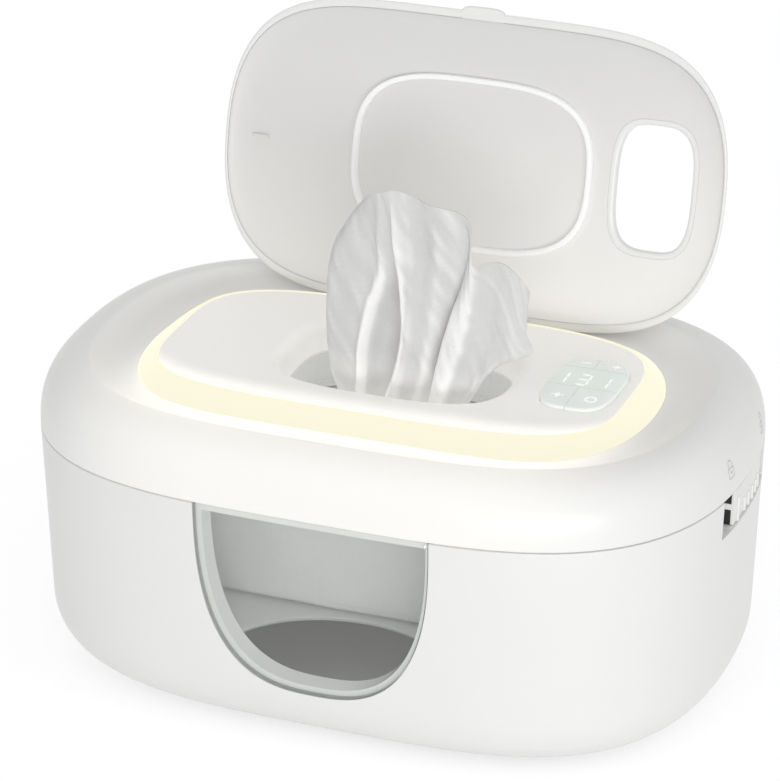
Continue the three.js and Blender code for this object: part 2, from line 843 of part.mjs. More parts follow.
// The top shell: shoulder, dished recess, inner tongue, screw bosses, catches and hinge knuckle
function topShell() {
  const tongueOuter = body.wall + seatGap;
  const tongueInner = tongueOuter + shell.tongueWall;
  const outer = shoulderShares.map((share) => shoulderRing(share, 0));
  const recess = recessShares.map((share) => recessRing(share, 0));
  const under = underShares.map((share) => recessRing(share, shell.thickness));
  const inside = [...shoulderShares].reverse().map((share) => shoulderRing(share, shell.thickness));
  const joggleTop = shellBottom + 2 * shell.joggle;
  const innerWall = inside.filter((points) => points[0].z > joggleTop);
  const tongue = [
    ring(grow(bodyOutline, -body.wall), joggleTop),
    ring(grow(bodyOutline, -tongueInner), joggleTop - shell.joggle),
    ring(grow(bodyOutline, -tongueInner), body.seam - shell.tongue),
    ring(grow(bodyOutline, -tongueOuter), body.seam - shell.tongue),
    ring(grow(bodyOutline, -tongueOuter), shellBottom),
  ];
  let solid = loft([...outer, ...recess, ...under, ...innerWall, ...tongue], true);
  const core = shellCore();
  const holes = [];
  for (const [x, y] of bossPlaces()) {
    const column = rod("z", boss.radius, coverTop + seatGap, crestZ, [x, y]);
    solid = union(solid, column.intersect(core));
    const depth = screw.length - underCover.thickness + seatGap;
    holes.push(rod("z", boss.bore, coverTop - overrun, coverTop + depth, [x, y], facets.small));
  }
  solid = union(solid, hingeKnuckle());
  for (const side of [-1, 1]) {
    const rear = hookFingerFront() - catchRib.lead;
    const top = hookFingerBottom() - seatGap;
    const inner = hookPlane - hook.thickness - slideGap;
    const rib = block(
      [side * inner, side * body.length],
      [rear - catchRib.length, rear],
      [top - catchRib.height, top],
    );
    solid = union(solid, rib.intersect(core));
  }
  const below = [body.seam - shell.tongue - overrun, shellBottom + body.seamGap];
  const windowHalf = pane.width / 2 + paneFrame.flange + shell.tongueWall;
  const notches = [block([-windowHalf, windowHalf], [-body.depth, -body.depth / 4], below)];
  const pocketEnds = [latch.front - latch.pocketRim - seatGap, latch.rear + latch.pocketRim + seatGap];
  for (const side of [-1, 1]) {
    notches.push(block([side * (body.length / 4), side * body.length], pocketEnds, below));
  }
  const tongueBand = wallBand(tongueOuter - seatGap / 2, tongueInner + shell.tongueWall, ...below);
  notches.forEach((notch, index) => {
    notches[index] = notch.intersect(tongueBand);
  });
  const socketZ = coverTop + seatGap + powerInlet.height / 2;
  const socket = rod("y", powerInlet.barrel + seatGap, body.depth / 4, body.depth, [powerInlet.x, socketZ]);
  return cut(solid, ...holes, ...notches, socket);
}

// The diffuser: a sloping translucent wall with a thin bright band on top and a flange underneath
function lightRingDiffuser() {
  const slopeTop = grow(ringTop, lightRing.band);
  const flangeTop = recessFloorZ - shell.thickness - seatGap;
  const flangeBottom = flangeTop - lightRing.flangeThickness;
  const foot = grow(ringFoot, -seatGap / 2);
  const rings = [
    ring(foot, flangeTop),
    ring(foot, ringFootZ),
    ring(between(foot, slopeTop, 1 / 2), (ringFootZ + ringTopZ) / 2),
    ring(grow(slopeTop, deck.edge), ringTopZ - deck.edge),
    ring(slopeTop, ringTopZ),
    ring(grow(ringTop, seatGap / 2), ringTopZ),
    ring(grow(ringTop, seatGap / 2), ringTopZ - lightRing.wall),
    ring(grow(foot, -lightRing.wall), flangeTop),
    ring(grow(foot, -lightRing.wall), flangeBottom),
    ring(grow(foot, lightRing.flange), flangeBottom),
    ring(grow(foot, lightRing.flange), flangeTop),
  ];
  return loft(rings, true);
}

const ledBoardTop =
  recessFloorZ - shell.thickness - lightRing.flangeThickness - ledBoard.ledHeight - 2 * seatGap;

// The ring-shaped board whose lamps shine up into the diffuser
function lightBoard() {
  let solid = annulus(
    grow(ringFoot, ledBoard.outer),
    grow(ringFoot, -ledBoard.inner),
    ledBoardTop - ledBoard.thickness,
    ledBoardTop,
  );
  const lane = grow(ringFoot, -(ledBoard.inner - ledBoard.outer) / 2);
  for (let i = 0; i < ledBoard.leds; i += 1) {
    const angle = ((i + 0.5) / ledBoard.leds) * 2 * Math.PI;
    const [x, y] = edgePoint(lane, angle);
    const height = ledBoard.ledHeight + seatGap;
    const chip = new THREE.BoxGeometry(ledBoard.ledLength, ledBoard.ledWidth, height);
    chip.translate(x, y, ledBoardTop + ledBoard.ledHeight - height / 2);
    solid = union(solid, solidOf(chip));
  }
  return solid;
}

const panelX = ringTop.a - panel.endInset;
const panelOutline = outline(panel.width, panel.length, panel.power, panel.power, panelX, panel.y);
const panelTop = ringTopZ + panel.rise;
const keyBottom = ringTopZ - panel.underside;
const boardTop = keyBottom - board.drop;

function boardPostPlaces() {
  const dx = board.width / 2 - board.postInset;
  const dy = board.length / 2 - board.postEndInset;
  const corners = [
    [-dx, -dy],
    [-dx, dy],
    [dx, -dy],
    [dx, dy],
  ];
  return corners.map(([x, y]) => [panelX - board.offset + x, panel.y + y]);
}

// The deck: a flat plate with a rolled-in dispensing mouth and the window for the control panel
function topDeck() {
  const edge = grow(ringTop, -seatGap / 2);
  const top = ringTopZ;
  const throat = (inset, z) => ring(grow(mouthOutline, -inset), z);
  const rings = [
    ring(edge, top - deck.skirt),
    ring(edge, top - deck.edge),
    ring(grow(edge, -deck.edge), top),
    ring(grow(mouthOutline, mouth.lip), top),
    throat(0, top),
  ];
  for (let step = 1; step <= lipSteps; step += 1) {
    const angle = (step / lipSteps) * mouth.rollShare * (Math.PI / 2);
    rings.push(throat(mouth.lip * Math.sin(angle), top - mouth.lip * (1 - Math.cos(angle))));
  }
  const bottomInset = mouth.lip + mouth.throat;
  rings.push(
    throat(bottomInset, top - mouth.height),
    throat(bottomInset - mouth.wall, top - mouth.height),
    throat(mouth.lip - mouth.wall, top - mouth.lip - deck.thickness),
    throat(-mouth.wall, top - deck.thickness),
    ring(grow(edge, -deck.skirtWall), top - deck.thickness),
    ring(grow(edge, -deck.skirtWall), top - deck.skirt),
  );
  let solid = loft(rings, true);
  for (const place of boardPostPlaces()) {
    const post = rod("z", board.post, boardTop + seatGap, top - deck.thickness / 2, place, facets.small);
    solid = union(solid, post);
  }
  return cut(solid, prism(grow(panelOutline, panel.gap), keyBottom - overrun, top + overrun));
}

// The whole panel before it is parted into keys and display: a flanged, softly crowned block
function panelBlank() {
  const flangeTop = keyBottom + panel.flangeThickness;
  const topEdge = panelTop - panel.edge;
  const count = facets.outline / 2;
  return loft([
    ring(grow(panelOutline, panel.flange), keyBottom, count),
    ring(grow(panelOutline, panel.flange), flangeTop, count),
    ring(panelOutline, flangeTop, count),
    ring(panelOutline, topEdge, count),
    ring(grow(panelOutline, -panel.edge / 3), panelTop - panel.edge / 3, count),
    ring(grow(panelOutline, -panel.edge), panelTop, count),
  ]);
}

// The stretches of the panel: rows along Y, and keys left and right of the parting line
function panelCells() {
  const half = panel.gap / 2;
  const far = panel.length;
  const splitX = panelX + panel.split;
  const left = [panelX - far, splitX - half];
  const right = [splitX + half, panelX + far];
  const rear = [panel.displayRear + half, panel.y + far];
  const front = [panel.y - far, panel.displayFront - half];
  return {
    key_minus: [left, rear],
    key_plus: [right, rear],
    key_light: [left, front],
    key_power: [right, front],
    display_lens: [
      [panelX - far, panelX + far],
      [panel.displayFront + half, panel.displayRear - half],
    ],
  };
}

function panelPiece(blank, [xs, ys]) {
  return blank.intersect(block(xs, ys, [keyBottom - overrun, panelTop + overrun]));
}

// The control board under the panel
function controlBoard() {
  const x = panelX - board.offset;
  const dx = board.width / 2;
  const dy = board.length / 2;
  return block([x - dx, x + dx], [panel.y - dy, panel.y + dy], [boardTop - board.thickness, boardTop]);
}

// A small push switch under one key
function pushSwitch(x, y) {
  const half = tactSwitch.width / 2;
  const bottom = boardTop + seatGap;
  const top = bottom + tactSwitch.height;
  const base = block([x - half, x + half], [y - half, y + half], [bottom, top]);
  const plungerTop = top + tactSwitch.plungerHeight;
  const plunger = rod("z", tactSwitch.plunger, (bottom + top) / 2, plungerTop, [x, y], facets.small);
  return union(base, plunger);
}

function switchPlaces() {
  const dx = panel.width / 4;
  const rear = (panel.displayRear + panel.y + panel.length / 2) / 2;
  const front = (panel.displayFront + panel.y - panel.length / 2) / 2;
  return [
    ["switch_minus", panelX - dx, rear],
    ["switch_plus", panelX + dx, rear],
    ["switch_light", panelX - dx, front],
    ["switch_power", panelX + dx, front],
  ];
}

// The lit digit block that sits under the display lens
function displayBlock() {
  const dx = panel.width / 2 - panel.edge;
  const front = panel.displayFront + panel.gap;
  const rear = panel.displayRear - panel.gap;
  return block([panelX - dx, panelX + dx], [front, rear], [boardTop + seatGap, keyBottom - seatGap]);
}

// The closed bottom of the top cover, with a collar round the dispensing slot and posts for the light board
function bottomCover() {
  const edge = grow(bodyOutline, -(body.wall + seatGap + shell.tongueWall + underCover.rimGap));
  const collarTop = ringTopZ - mouth.height - seatGap;
  const collar = annulus(grow(slotOutline, slotCollarWall), slotOutline, coverBottom, collarTop);
  let solid = union(annulus(edge, slotOutline, coverBottom, coverTop), collar);
  const postLine = grow(ringFoot, -ledBoard.inner / 2);
  const postTop = ledBoardTop - ledBoard.thickness - seatGap;
  const posts = ledBoard.leds / 2;
  for (let i = 0; i < posts; i += 1) {
    const place = edgePoint(postLine, ((i + 1 / 2) / posts) * 2 * Math.PI);
    solid = union(solid, rod("z", underCover.postRadius, coverBottom, postTop, place, facets.small));
  }
  const holes = bossPlaces().map((place) =>
    rod("z", boss.bore, coverBottom - overrun, coverTop + overrun, place, facets.small),
  );
  const hookFront = hookFingerFront() - catchRib.lead - catchRib.length - slideGap;
  const hookRear = latchPlace(1).middle + hook.length / 2 + hook.fingerReach / 2 + slideGap;
  for (const side of [-1, 1]) {
    const gap = [side * (hookPlane - hook.thickness - 2 * slideGap), side * body.length];
    holes.push(block(gap, [hookFront, hookRear], [coverBottom - overrun, coverTop + overrun]));
  }
  return cut(solid, ...holes);
}

function coverScrew(x, y) {
  const headTop = coverBottom - seatGap;
  const head = rod("z", screw.head, headTop - screw.headHeight, headTop, [x, y]);
  const shankBottom = headTop - screw.headHeight / 2;
  const shank = rod("z", screw.shank, shankBottom, headTop + screw.length, [x, y], facets.small);
  return union(head, shank);
}

function heaterFilm() {
  const top = coverBottom - seatGap;
  const edge = grow(insideBody(heater, lightRing.centreY), -heater.filmInset);
  return annulus(edge, slotOutline, top - heater.film, top);
}

function heaterPlate() {
  return annulus(insideBody(heater, lightRing.centreY), slotOutline, heaterBottom, heaterTop);
}

// The power inlet: a body that stands on the bottom cover and a barrel through the rear wall
function inletSocket() {
  const z = coverTop + seatGap + powerInlet.height / 2;
  const [, wallY] = wallPointAtX(powerInlet.x, z);
  const front = wallY - powerInlet.sink;
  const half = powerInlet.width / 2;
  const innerY = front - powerInlet.depth;
  const housing = block(
    [powerInlet.x - half, powerInlet.x + half],
    [innerY - powerInlet.length / 2, front - body.wall - powerInlet.setback],
    [coverTop + seatGap, coverTop + seatGap + powerInlet.height],
  );
  const axis = [powerInlet.x, z];
  const barrel = rod("y", powerInlet.barrel, innerY, front, axis);
  const bore = rod("y", powerInlet.bore, innerY, front + overrun, axis);
  const pin = rod("y", powerInlet.pin, innerY - powerInlet.sink, front - powerInlet.sink, axis, facets.small);
  return union(cut(union(housing, barrel), bore), pin);
}

// Where the shoulder's outer face lies at one X and height, on the rear side
function wallPointAtX(x, z) {
  const up = (z - shellBottom) / (crestZ - shellBottom);
  const along = 1 - (1 - up ** shell.shoulderPower) ** (1 / shell.shoulderPower);
  const shape = grow(bodyOutline, -shell.shoulder * along);
  const y = shape.b * (1 - Math.abs(x / shape.a) ** shape.p) ** (1 / shape.q);
  return [x, y];
}

const lidHoleOutline = outline(
  panel.width + 2 * lidHole.sideRoom,
  panel.length + 2 * lidHole.endRoom,
  lidHole.power,
  lidHole.power,
  panelX + lidHole.offsetX,
  panel.y + lidHole.offsetY,
);
const linerFace = lidRim + liner.depth;
const linerBack = linerFace + liner.thickness;

function lugSpans() {
  const inner = hinge.middle / 2 + slideGap;
  return [
    [-inner - hinge.lug, -inner],
    [inner, inner + hinge.lug],
  ];
}

const lidShares = [0, 0.2, 0.4, 0.6, 0.8, 1];
const linerShares = [0, 0.25, 0.5, 0.75, 1];

// The lid's outer cover: domed skin, thin rim lip, collar round the panel hole, thumb tab and hinge lugs
function lidCover() {
  const outer = lidShares.map((share) => {
    const angle = share * (Math.PI / 2);
    const z = lidRim + lid.thickness * Math.sin(angle);
    return ring(grow(lidOutline, -lid.shoulder * (1 - Math.cos(angle))), z);
  });
  const top = lidRim + lid.thickness;
  const crown = ring(grow(lidOutline, -lid.crownInset), top + lid.crown);
  const inner = grow(lidOutline, -lid.lip);
  const ceiling = linerBack + seatGap;
  const hollow = loft([
    ring(inner, lidRim - overrun),
    ring(inner, lidRim + lid.skin),
    ring(grow(inner, -lid.lip), ceiling),
  ]);
  const collarOutline = grow(lidHoleOutline, lidHole.collar);
  const dome = loft([...outer, crown]);
  let solid = cut(dome, hollow);
  solid = union(solid, prism(collarOutline, linerFace, top - lidHole.lipRound));
  const tabFront = lidCentreY - lidOutline.b - thumbTab.reach;
  const tabY = tabFront + thumbTab.depth / 2;
  const tabOutline = outline(thumbTab.width, thumbTab.depth, thumbTab.power, thumbTab.power, 0, tabY);
  const tabTop = lidRim + thumbTab.thickness;
  const tab = loft([ring(tabOutline, lidRim), ring(grow(tabOutline, -thumbTab.corner / 2), tabTop)]);
  solid = union(solid, cut(tab, hollow));
  for (const [from, to] of lugSpans()) {
    const ys = [hingeY - hinge.knuckle, hingeY + hinge.knuckle];
    const eye = rod("x", hinge.knuckle, from, to, [hingeY, hingeZ]);
    const neck = block([from, to], ys, [hingeZ, lidRim + lid.lip / 2]);
    const root = block([from, to], ys, [lidRim, ceiling + lid.skin / 2]).intersect(dome);
    solid = union(solid, eye, neck, root);
  }
  const bore = rod("x", hinge.pin + seatGap, -hinge.middle, hinge.middle, [hingeY, hingeZ]);
  const hole = loft([
    ring(grow(lidHoleOutline, lidHole.lipRound), linerFace - lidHole.lipRound),
    ring(grow(lidHoleOutline, lidHole.lipRound / 2), linerFace + lidHole.lipRound / 2),
    ring(lidHoleOutline, linerFace + 2 * lidHole.lipRound),
    ring(lidHoleOutline, top - lidHole.lipRound),
    ring(grow(lidHoleOutline, 2 * lidHole.lipRound), top + 2 * lid.crown),
  ]);
  return cut(solid, bore, hole);
}

// The lid's inner liner: a shallow tray with a groove for the seal and a small fin at its left end
function lidLiner() {
  const edge = grow(lidOutline, -lid.lip - seatGap);
  const edgeZ = lidRim + liner.setback;
  const face = linerShares.map((share) => {
    const angle = share * (Math.PI / 2);
    const z = edgeZ + (linerFace - edgeZ) * Math.sin(angle);
    return ring(grow(edge, -liner.fillet * (1 - Math.cos(angle))), z);
  });
  const sideTop = lidRim + lid.skin - seatGap;
  const rings = [
    ...face.reverse(),
    ring(edge, sideTop),
    ring(grow(edge, -lid.lip - seatGap), linerBack),
  ];
  let solid = loft(rings);
  const finX = lidFin.endInset - lidOutline.a;
  const fin = block(
    [finX - lidFin.width / 2, finX + lidFin.width / 2],
    [lidCentreY - lidFin.thickness / 2, lidCentreY + lidFin.thickness / 2],
    [linerFace - lidFin.height, linerFace + liner.thickness / 2],
  );
  solid = union(solid, fin);
  const sealLine = lidSealOutline();
  const grooveHalf = lidSeal.width / 2 + seatGap;
  const groove = annulus(
    grow(sealLine, grooveHalf),
    grow(sealLine, -grooveHalf),
    linerFace - overrun,
    linerFace + liner.groove,
  );
  const lugGaps = lugSpans().map(([from, to]) =>
    block(
      [from - slideGap, to + slideGap],
      [hingeY - hinge.knuckle - slideGap, hingeY + overrun],
      [lidRim - overrun, linerBack + overrun],
    ),
  );
  const hole = prism(grow(lidHoleOutline, lidHole.collar + seatGap), lidRim - overrun, linerBack + overrun);
  return cut(solid, groove, hole, ...lugGaps);
}

function lidSealOutline() {
  const shape = grow(mouthOutline, -lidSeal.inset);
  return { ...shape, p: lidSeal.endPower, q: lidSeal.sidePower, y: lidCentreY };
}

// The soft seal that closes round the mouth
function mouthSeal() {
  const line = lidSealOutline();
  const half = lidSeal.width / 2;
  const tipHalf = lidSeal.tip / 2;
  const tipZ = lidRim - lidSeal.standOff;
  const backZ = linerFace + liner.groove - seatGap;
  return loft(
    [
      ring(grow(line, tipHalf), tipZ),
      ring(grow(line, half), tipZ + tipHalf),
      ring(grow(line, half), backZ),
      ring(grow(line, -half), backZ),
      ring(grow(line, -half), tipZ + tipHalf),
      ring(grow(line, -tipHalf), tipZ),
    ],
    true,
  );
}

function hingePin() {
  const half = hinge.middle / 2 + slideGap + hinge.lug;
  return rod("x", hinge.pin, -half, half, [hingeY, hingeZ], facets.small);
}

// The wipe's folds from left to right: base, middle and top across, height, and fold forward or back,
// as shares of the wipe's half-width, height and fold depth
const wipeShares = [
  [-0.88, -1.02, -0.68, 0.8, 0.9],
  [-0.6, -0.72, -0.5, 0.93, -0.3],
  [-0.36, -0.4, -0.3, 0.97, 0.7],
  [-0.2, -0.12, -0.18, 0.98, -0.4],
  [-0.02, 0.14, 0.04, 0.97, 1],
  [0.2, 0.36, 0.4, 0.94, -0.5],
  [0.36, 0.56, 0.76, 0.94, 0.3],
  [0.5, 0.8, 1.04, 0.86, 1],
  [0.62, 1.0, 1.24, 0.7, -0.6],
  [0.76, 1.24, 1.56, 0.7, 0.5],
  [0.9, 1.5, 1.8, 0.64, -0.4],
  [1.06, 1.68, 1.94, 0.52, 0.6],
  [1.2, 1.6, 1.98, 0.3, -0.3],
];

// The standing wipe: a thin folded sheet that leaves the pack as a bundle and fans out above the mouth
function wipeSheet() {
  const columns = 2 * (wipeShares.length - 1);
  const curve = (_, field) =>
    new THREE.SplineCurve(wipeShares.map((row, i) => new THREE.Vector2(i, row[field])));
  const fields = wipeShares[0].map(curve);
  const base = ringTopZ;
  const low = heaterBottom;
  const levels = wipe.levels;
  const front = [];
  for (let column = 0; column <= columns; column += 1) {
    const [baseX, midX, topX, high, fold] = fields.map((field) => field.getPoint(column / columns).y);
    const line = [];
    const spread = (column / columns) * 2 - 1;
    line.push([spread * wipe.bundle, wipe.y + fold * wipe.fold * wipe.gatherShare, low]);
    for (let level = 0; level <= levels; level += 1) {
      const t = level / levels;
      const pull = 2 * midX - (baseX + topX) / 2;
      const across = (1 - t) * (1 - t) * baseX + 2 * t * (1 - t) * pull + t * t * topX;
      const depth = fold * wipe.fold * (wipe.gatherShare + (1 - wipe.gatherShare) * t);
      line.push([across * wipe.halfWidth, wipe.y + depth, base + t * high * wipe.height]);
    }
    front.push(line);
  }
  const half = wipe.thickness / 2;
  const rings = front.map((line) => {
    const ahead = line.map(([x, y, z]) => new THREE.Vector3(x, y - half, z));
    const behind = line.map(([x, y, z]) => new THREE.Vector3(x, y + half, z));
    return [...behind, ...ahead.reverse()];
  });
  return loft(rings);
}

const looks = {
  shell: { color: 0xf6f6f5, roughness: 0.32, metalness: 0 },
  deck: { color: 0xf0f0ee, roughness: 0.38, metalness: 0 },
  liner: { color: 0xe6e6e5, roughness: 0.4, metalness: 0 },
  inner: { color: 0xececea, roughness: 0.55, metalness: 0 },
  diffuser: { color: 0xfff3cf, roughness: 0.5, metalness: 0 },
  clear: { color: 0xaab0aa, roughness: 0.08, metalness: 0, transparent: true, opacity: 0.35 },
  frame: { color: 0xc4c9c2, roughness: 0.3, metalness: 0 },
  panel: { color: 0xc9d6cd, roughness: 0.15, metalness: 0 },
  rubber: { color: 0x8d8f90, roughness: 0.9, metalness: 0 },
  silicone: { color: 0xe9e9e8, roughness: 0.6, metalness: 0 },
  steel: { color: 0xb8bbbe, roughness: 0.3, metalness: 1 },
  heater: { color: 0xc5c8ca, roughness: 0.35, metalness: 1 },
  film: { color: 0xb8651f, roughness: 0.5, metalness: 0 },
  circuit: { color: 0x1f5a3c, roughness: 0.6, metalness: 0 },
  dark: { color: 0x26282b, roughness: 0.5, metalness: 0 },
  packFilm: { color: 0xdde3df, roughness: 0.3, metalness: 0 },
  cloth: { color: 0xe8e8e8, roughness: 0.95, metalness: 0 },
};

// The case with everything that stays with it
function buildCase(parent) {
  addPiece(parent, "lower_case", lowerCase(), looks.shell);
  addPiece(parent, "window_pane", windowPane(), looks.clear);
  addPiece(parent, "window_frame", windowFrame(), looks.frame);
  addPiece(parent, "spring_seat_plate", springSeatPlate(), looks.inner);
  cornerPlaces(foot).forEach(([x, y], i) => {
    addPiece(parent, `foot_${cornerNames[i]}`, rubberFoot(x, y), looks.rubber);
  });
  for (const [name, side] of [["left", -1], ["right", 1]]) {
    addPiece(parent, `latch_slider_${name}`, latchSlider(side), looks.shell);
    addPiece(parent, `latch_hook_${name}`, latchHook(side), looks.inner);
  }
}

// The sprung plate, its springs and the pack on it
function buildLift(parent) {
  addPiece(parent, "pack_lift_plate", packLiftPlate(), looks.inner);
  cornerPlaces(spring).forEach(([x, y], i) => {
    addPiece(parent, `lift_spring_${cornerNames[i]}`, coilSpring(x, y), looks.steel);
  });
  const gap = leastGap(springLine(0, 0));
  const verdict = gap > spring.leastGap ? "clear" : "too close";
  console.log(`least gap between spring curls ${gap.toFixed(2)} mm, ${verdict}`);
  addPiece(parent, "wipe_pack", wipePack(), looks.packFilm);
}

// The top cover without its lid
function buildTopCover(parent) {
  addPiece(parent, "top_shell", topShell(), looks.shell);
  addPiece(parent, "light_ring", lightRingDiffuser(), looks.diffuser);
  addPiece(parent, "light_board", lightBoard(), looks.circuit);
  addPiece(parent, "top_deck", topDeck(), looks.deck);
  const blank = panelBlank();
  for (const [name, cell] of Object.entries(panelCells())) {
    addPiece(parent, name, panelPiece(blank, cell), looks.panel);
  }
  addPiece(parent, "control_board", controlBoard(), looks.circuit);
  addPiece(parent, "display_block", displayBlock(), looks.dark);
  for (const [name, x, y] of switchPlaces()) addPiece(parent, name, pushSwitch(x, y), looks.dark);
  addPiece(parent, "bottom_cover", bottomCover(), looks.inner);
  const names = [...cornerNames, "front_middle", "rear_middle"];
  bossPlaces().forEach(([x, y], i) => {
    addPiece(parent, `cover_screw_${names[i]}`, coverScrew(x, y), looks.steel);
  });
  addPiece(parent, "heater_film", heaterFilm(), looks.film);
  addPiece(parent, "heater_plate", heaterPlate(), looks.heater);
  addPiece(parent, "power_inlet", inletSocket(), looks.dark);
  addPiece(parent, "hinge_pin", hingePin(), looks.steel);
  addPiece(parent, "wipe_sheet", wipeSheet(), looks.cloth);
}

// The lid, built closed and then turned back round its hinge
function buildLid(parent) {
  const swing = new THREE.Group();
  swing.position.set(0, hingeY, hingeZ);
  swing.rotation.x = THREE.MathUtils.degToRad(-hinge.openDegrees);
  const closed = new THREE.Group();
  closed.position.set(0, -hingeY, -hingeZ);
  addPiece(closed, "lid_cover", lidCover(), looks.shell);
  addPiece(closed, "lid_liner", lidLiner(), looks.liner);
  addPiece(closed, "lid_seal", mouthSeal(), looks.silicone);
  swing.add(closed);
  parent.add(swing);
}

const group = new THREE.Group();
buildCase(group);
buildLift(group);
buildTopCover(group);
buildLid(group);

export default group;
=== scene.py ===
"""Baby wipe warmer with its lid open and one wipe standing in its mouth.

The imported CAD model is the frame. Each class below builds the finer pieces of one sub-assembly in
that frame, dresses them, and lets them ride on the bodies they belong to. Lengths are millimetres
until a mesh is made; the studio's are metres.
"""

import logging
import math
from dataclasses import dataclass, field, replace
from enum import Enum
from functools import partial
from math import cos, pi, sin
from typing import Callable, Iterable, Sequence

import bmesh
import bpy
import numpy as np
from bpy.types import Material, Node, NodeSocket, NodeTree, Object
from mathutils import Matrix, Vector
from mathutils.bvhtree import BVHTree


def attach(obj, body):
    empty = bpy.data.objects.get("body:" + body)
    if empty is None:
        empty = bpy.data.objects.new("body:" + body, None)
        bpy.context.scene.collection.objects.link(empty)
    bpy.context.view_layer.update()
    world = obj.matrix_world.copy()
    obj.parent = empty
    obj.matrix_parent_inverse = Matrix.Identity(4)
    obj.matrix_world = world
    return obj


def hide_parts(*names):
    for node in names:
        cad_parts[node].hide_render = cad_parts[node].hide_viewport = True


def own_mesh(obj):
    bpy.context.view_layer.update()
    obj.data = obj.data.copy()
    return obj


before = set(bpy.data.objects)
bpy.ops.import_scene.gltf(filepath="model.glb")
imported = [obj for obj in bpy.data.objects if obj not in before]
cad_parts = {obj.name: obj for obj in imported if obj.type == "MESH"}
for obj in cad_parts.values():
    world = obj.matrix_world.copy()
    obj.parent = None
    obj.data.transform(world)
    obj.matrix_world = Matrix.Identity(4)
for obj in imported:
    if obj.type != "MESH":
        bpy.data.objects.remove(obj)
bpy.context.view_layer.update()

LOG = logging.getLogger("wipe_warmer")
MM = 0.001
SEAT_GAP = 0.3
SLIDE_GAP = 0.5
RING_POINTS = 320
# Values stored on points: the share of painted lamp light, and how far a fold stands out, for the cloth's painted
# light and shade
PAINTED_LAMP_LIGHT = "painted_lamp_light"
FOLD_SHADE_MASK = "fold_painted_light_and_shade"
# How far a cutting tool reaches past what it cuts
PAST = 4.0
WHITE = (1.0, 1.0, 1.0, 1.0)
CORNERS = {(-1, -1): "front_left", (1, -1): "front_right", (-1, 1): "rear_left", (1, 1): "rear_right"}

Pair = tuple[float, float]
Triple = tuple[float, float, float]
Place = Callable[[float, float, float], Triple]


class BodyName(str, Enum):
    """The moving bodies of the frame."""

    CASE = "case"
    LIFT = "lift"
    COVER = "top_cover"
    LID = "lid"
    LATCH_LEFT = "latch_left"
    LATCH_RIGHT = "latch_right"


class Cut(str, Enum):
    """What one solid does to another."""

    ADD = "UNION"
    TAKE = "DIFFERENCE"
    KEEP = "INTERSECT"


# Outlines and mesh work


@dataclass(frozen=True)
class Outline:
    """A rounded outline |x/a|^p + |y/b|^q = 1 about a centre."""

    a: float
    b: float
    p: float
    q: float
    x: float = 0.0
    y: float = 0.0

    def grown(self, ends: float, sides: float | None = None) -> "Outline":
        """The outline moved out by one distance, or by two for its ends and sides."""
        return replace(self, a=self.a + ends, b=self.b + (ends if sides is None else sides))

    def mixed(self, other: "Outline", share: float) -> "Outline":
        """The outline part of the way to another, itself at share 0."""
        return Outline(*(getattr(self, key) * (1 - share) + getattr(other, key) * share for key in "abpqxy"))

    def loop(self, count: int = RING_POINTS) -> np.ndarray:
        """Points round the outline, evenly spaced along each quarter.

        Args:
            count: Number of points, a multiple of 4.

        Returns:
            An array of count rows of x and y.
        """
        turn = np.linspace(0, pi / 2, 1500)
        x = self.a * np.cos(turn).clip(0) ** (2 / self.p)
        y = self.b * np.sin(turn).clip(0) ** (2 / self.q)
        length = np.concatenate([[0], np.cumsum(np.hypot(np.diff(x), np.diff(y)))])
        wanted = np.linspace(0, length[-1], count // 4 + 1)
        quarter = np.stack([np.interp(wanted, length, x), np.interp(wanted, length, y)], 1)
        mirror = quarter[::-1]
        parts = [quarter[:-1], mirror[:-1] * [-1, 1], quarter[:-1] * [-1, -1], mirror[:-1] * [1, -1]]
        return np.concatenate(parts) + [self.x, self.y]

    def ring(self, z: float, count: int = RING_POINTS) -> np.ndarray:
        """The loop as a level ring of points at one height."""
        loop = self.loop(count)
        return np.column_stack([loop, np.full(len(loop), z)])

    def rings(self, levels: Iterable[Pair], count: int = RING_POINTS) -> list[np.ndarray]:
        """Level rings, one for each pair of a distance that the outline moves out and a height."""
        return [self.grown(out).ring(z, count) for out, z in levels]

    def reach_x(self, y: float) -> float:
        """Half-length of the outline at one y."""
        return self.a * max(0.0, 1 - abs((y - self.y) / self.b) ** self.q) ** (1 / self.p)

    def reach_y(self, x: float) -> float:
        """Half-depth of the outline at one x."""
        return self.b * max(0.0, 1 - abs((x - self.x) / self.a) ** self.p) ** (1 / self.q)


def mesh_object(name: str, points: np.ndarray, faces: Sequence[Sequence[int]]) -> Object:
    """Makes an object from points in millimetres.

    Args:
        name: Name of the object and its mesh.
        points: Rows of x, y and z.
        faces: Lists of point numbers.

    Returns:
        The object, with its faces turned outwards.
    """
    mesh = bpy.data.meshes.new(name)
    mesh.from_pydata((np.asarray(points, float) * MM).tolist(), [], [list(map(int, f)) for f in faces])
    shape = bmesh.new()
    shape.from_mesh(mesh)
    bmesh.ops.remove_doubles(shape, verts=shape.verts, dist=1e-7)
    bmesh.ops.recalc_face_normals(shape, faces=shape.faces)
    shape.to_mesh(mesh)
    shape.free()
    made = bpy.data.objects.new(name, mesh)
    bpy.context.scene.collection.objects.link(made)
    return made


def grid_faces(rows: int, columns: int, first: int = 0) -> list[tuple[int, int, int, int]]:
    """Faces between the points of a grid, rows by columns points from a first number on."""
    starts = [first + r * columns + c for r in range(rows - 1) for c in range(columns - 1)]
    return [(a, a + 1, a + columns + 1, a + columns) for a in starts]


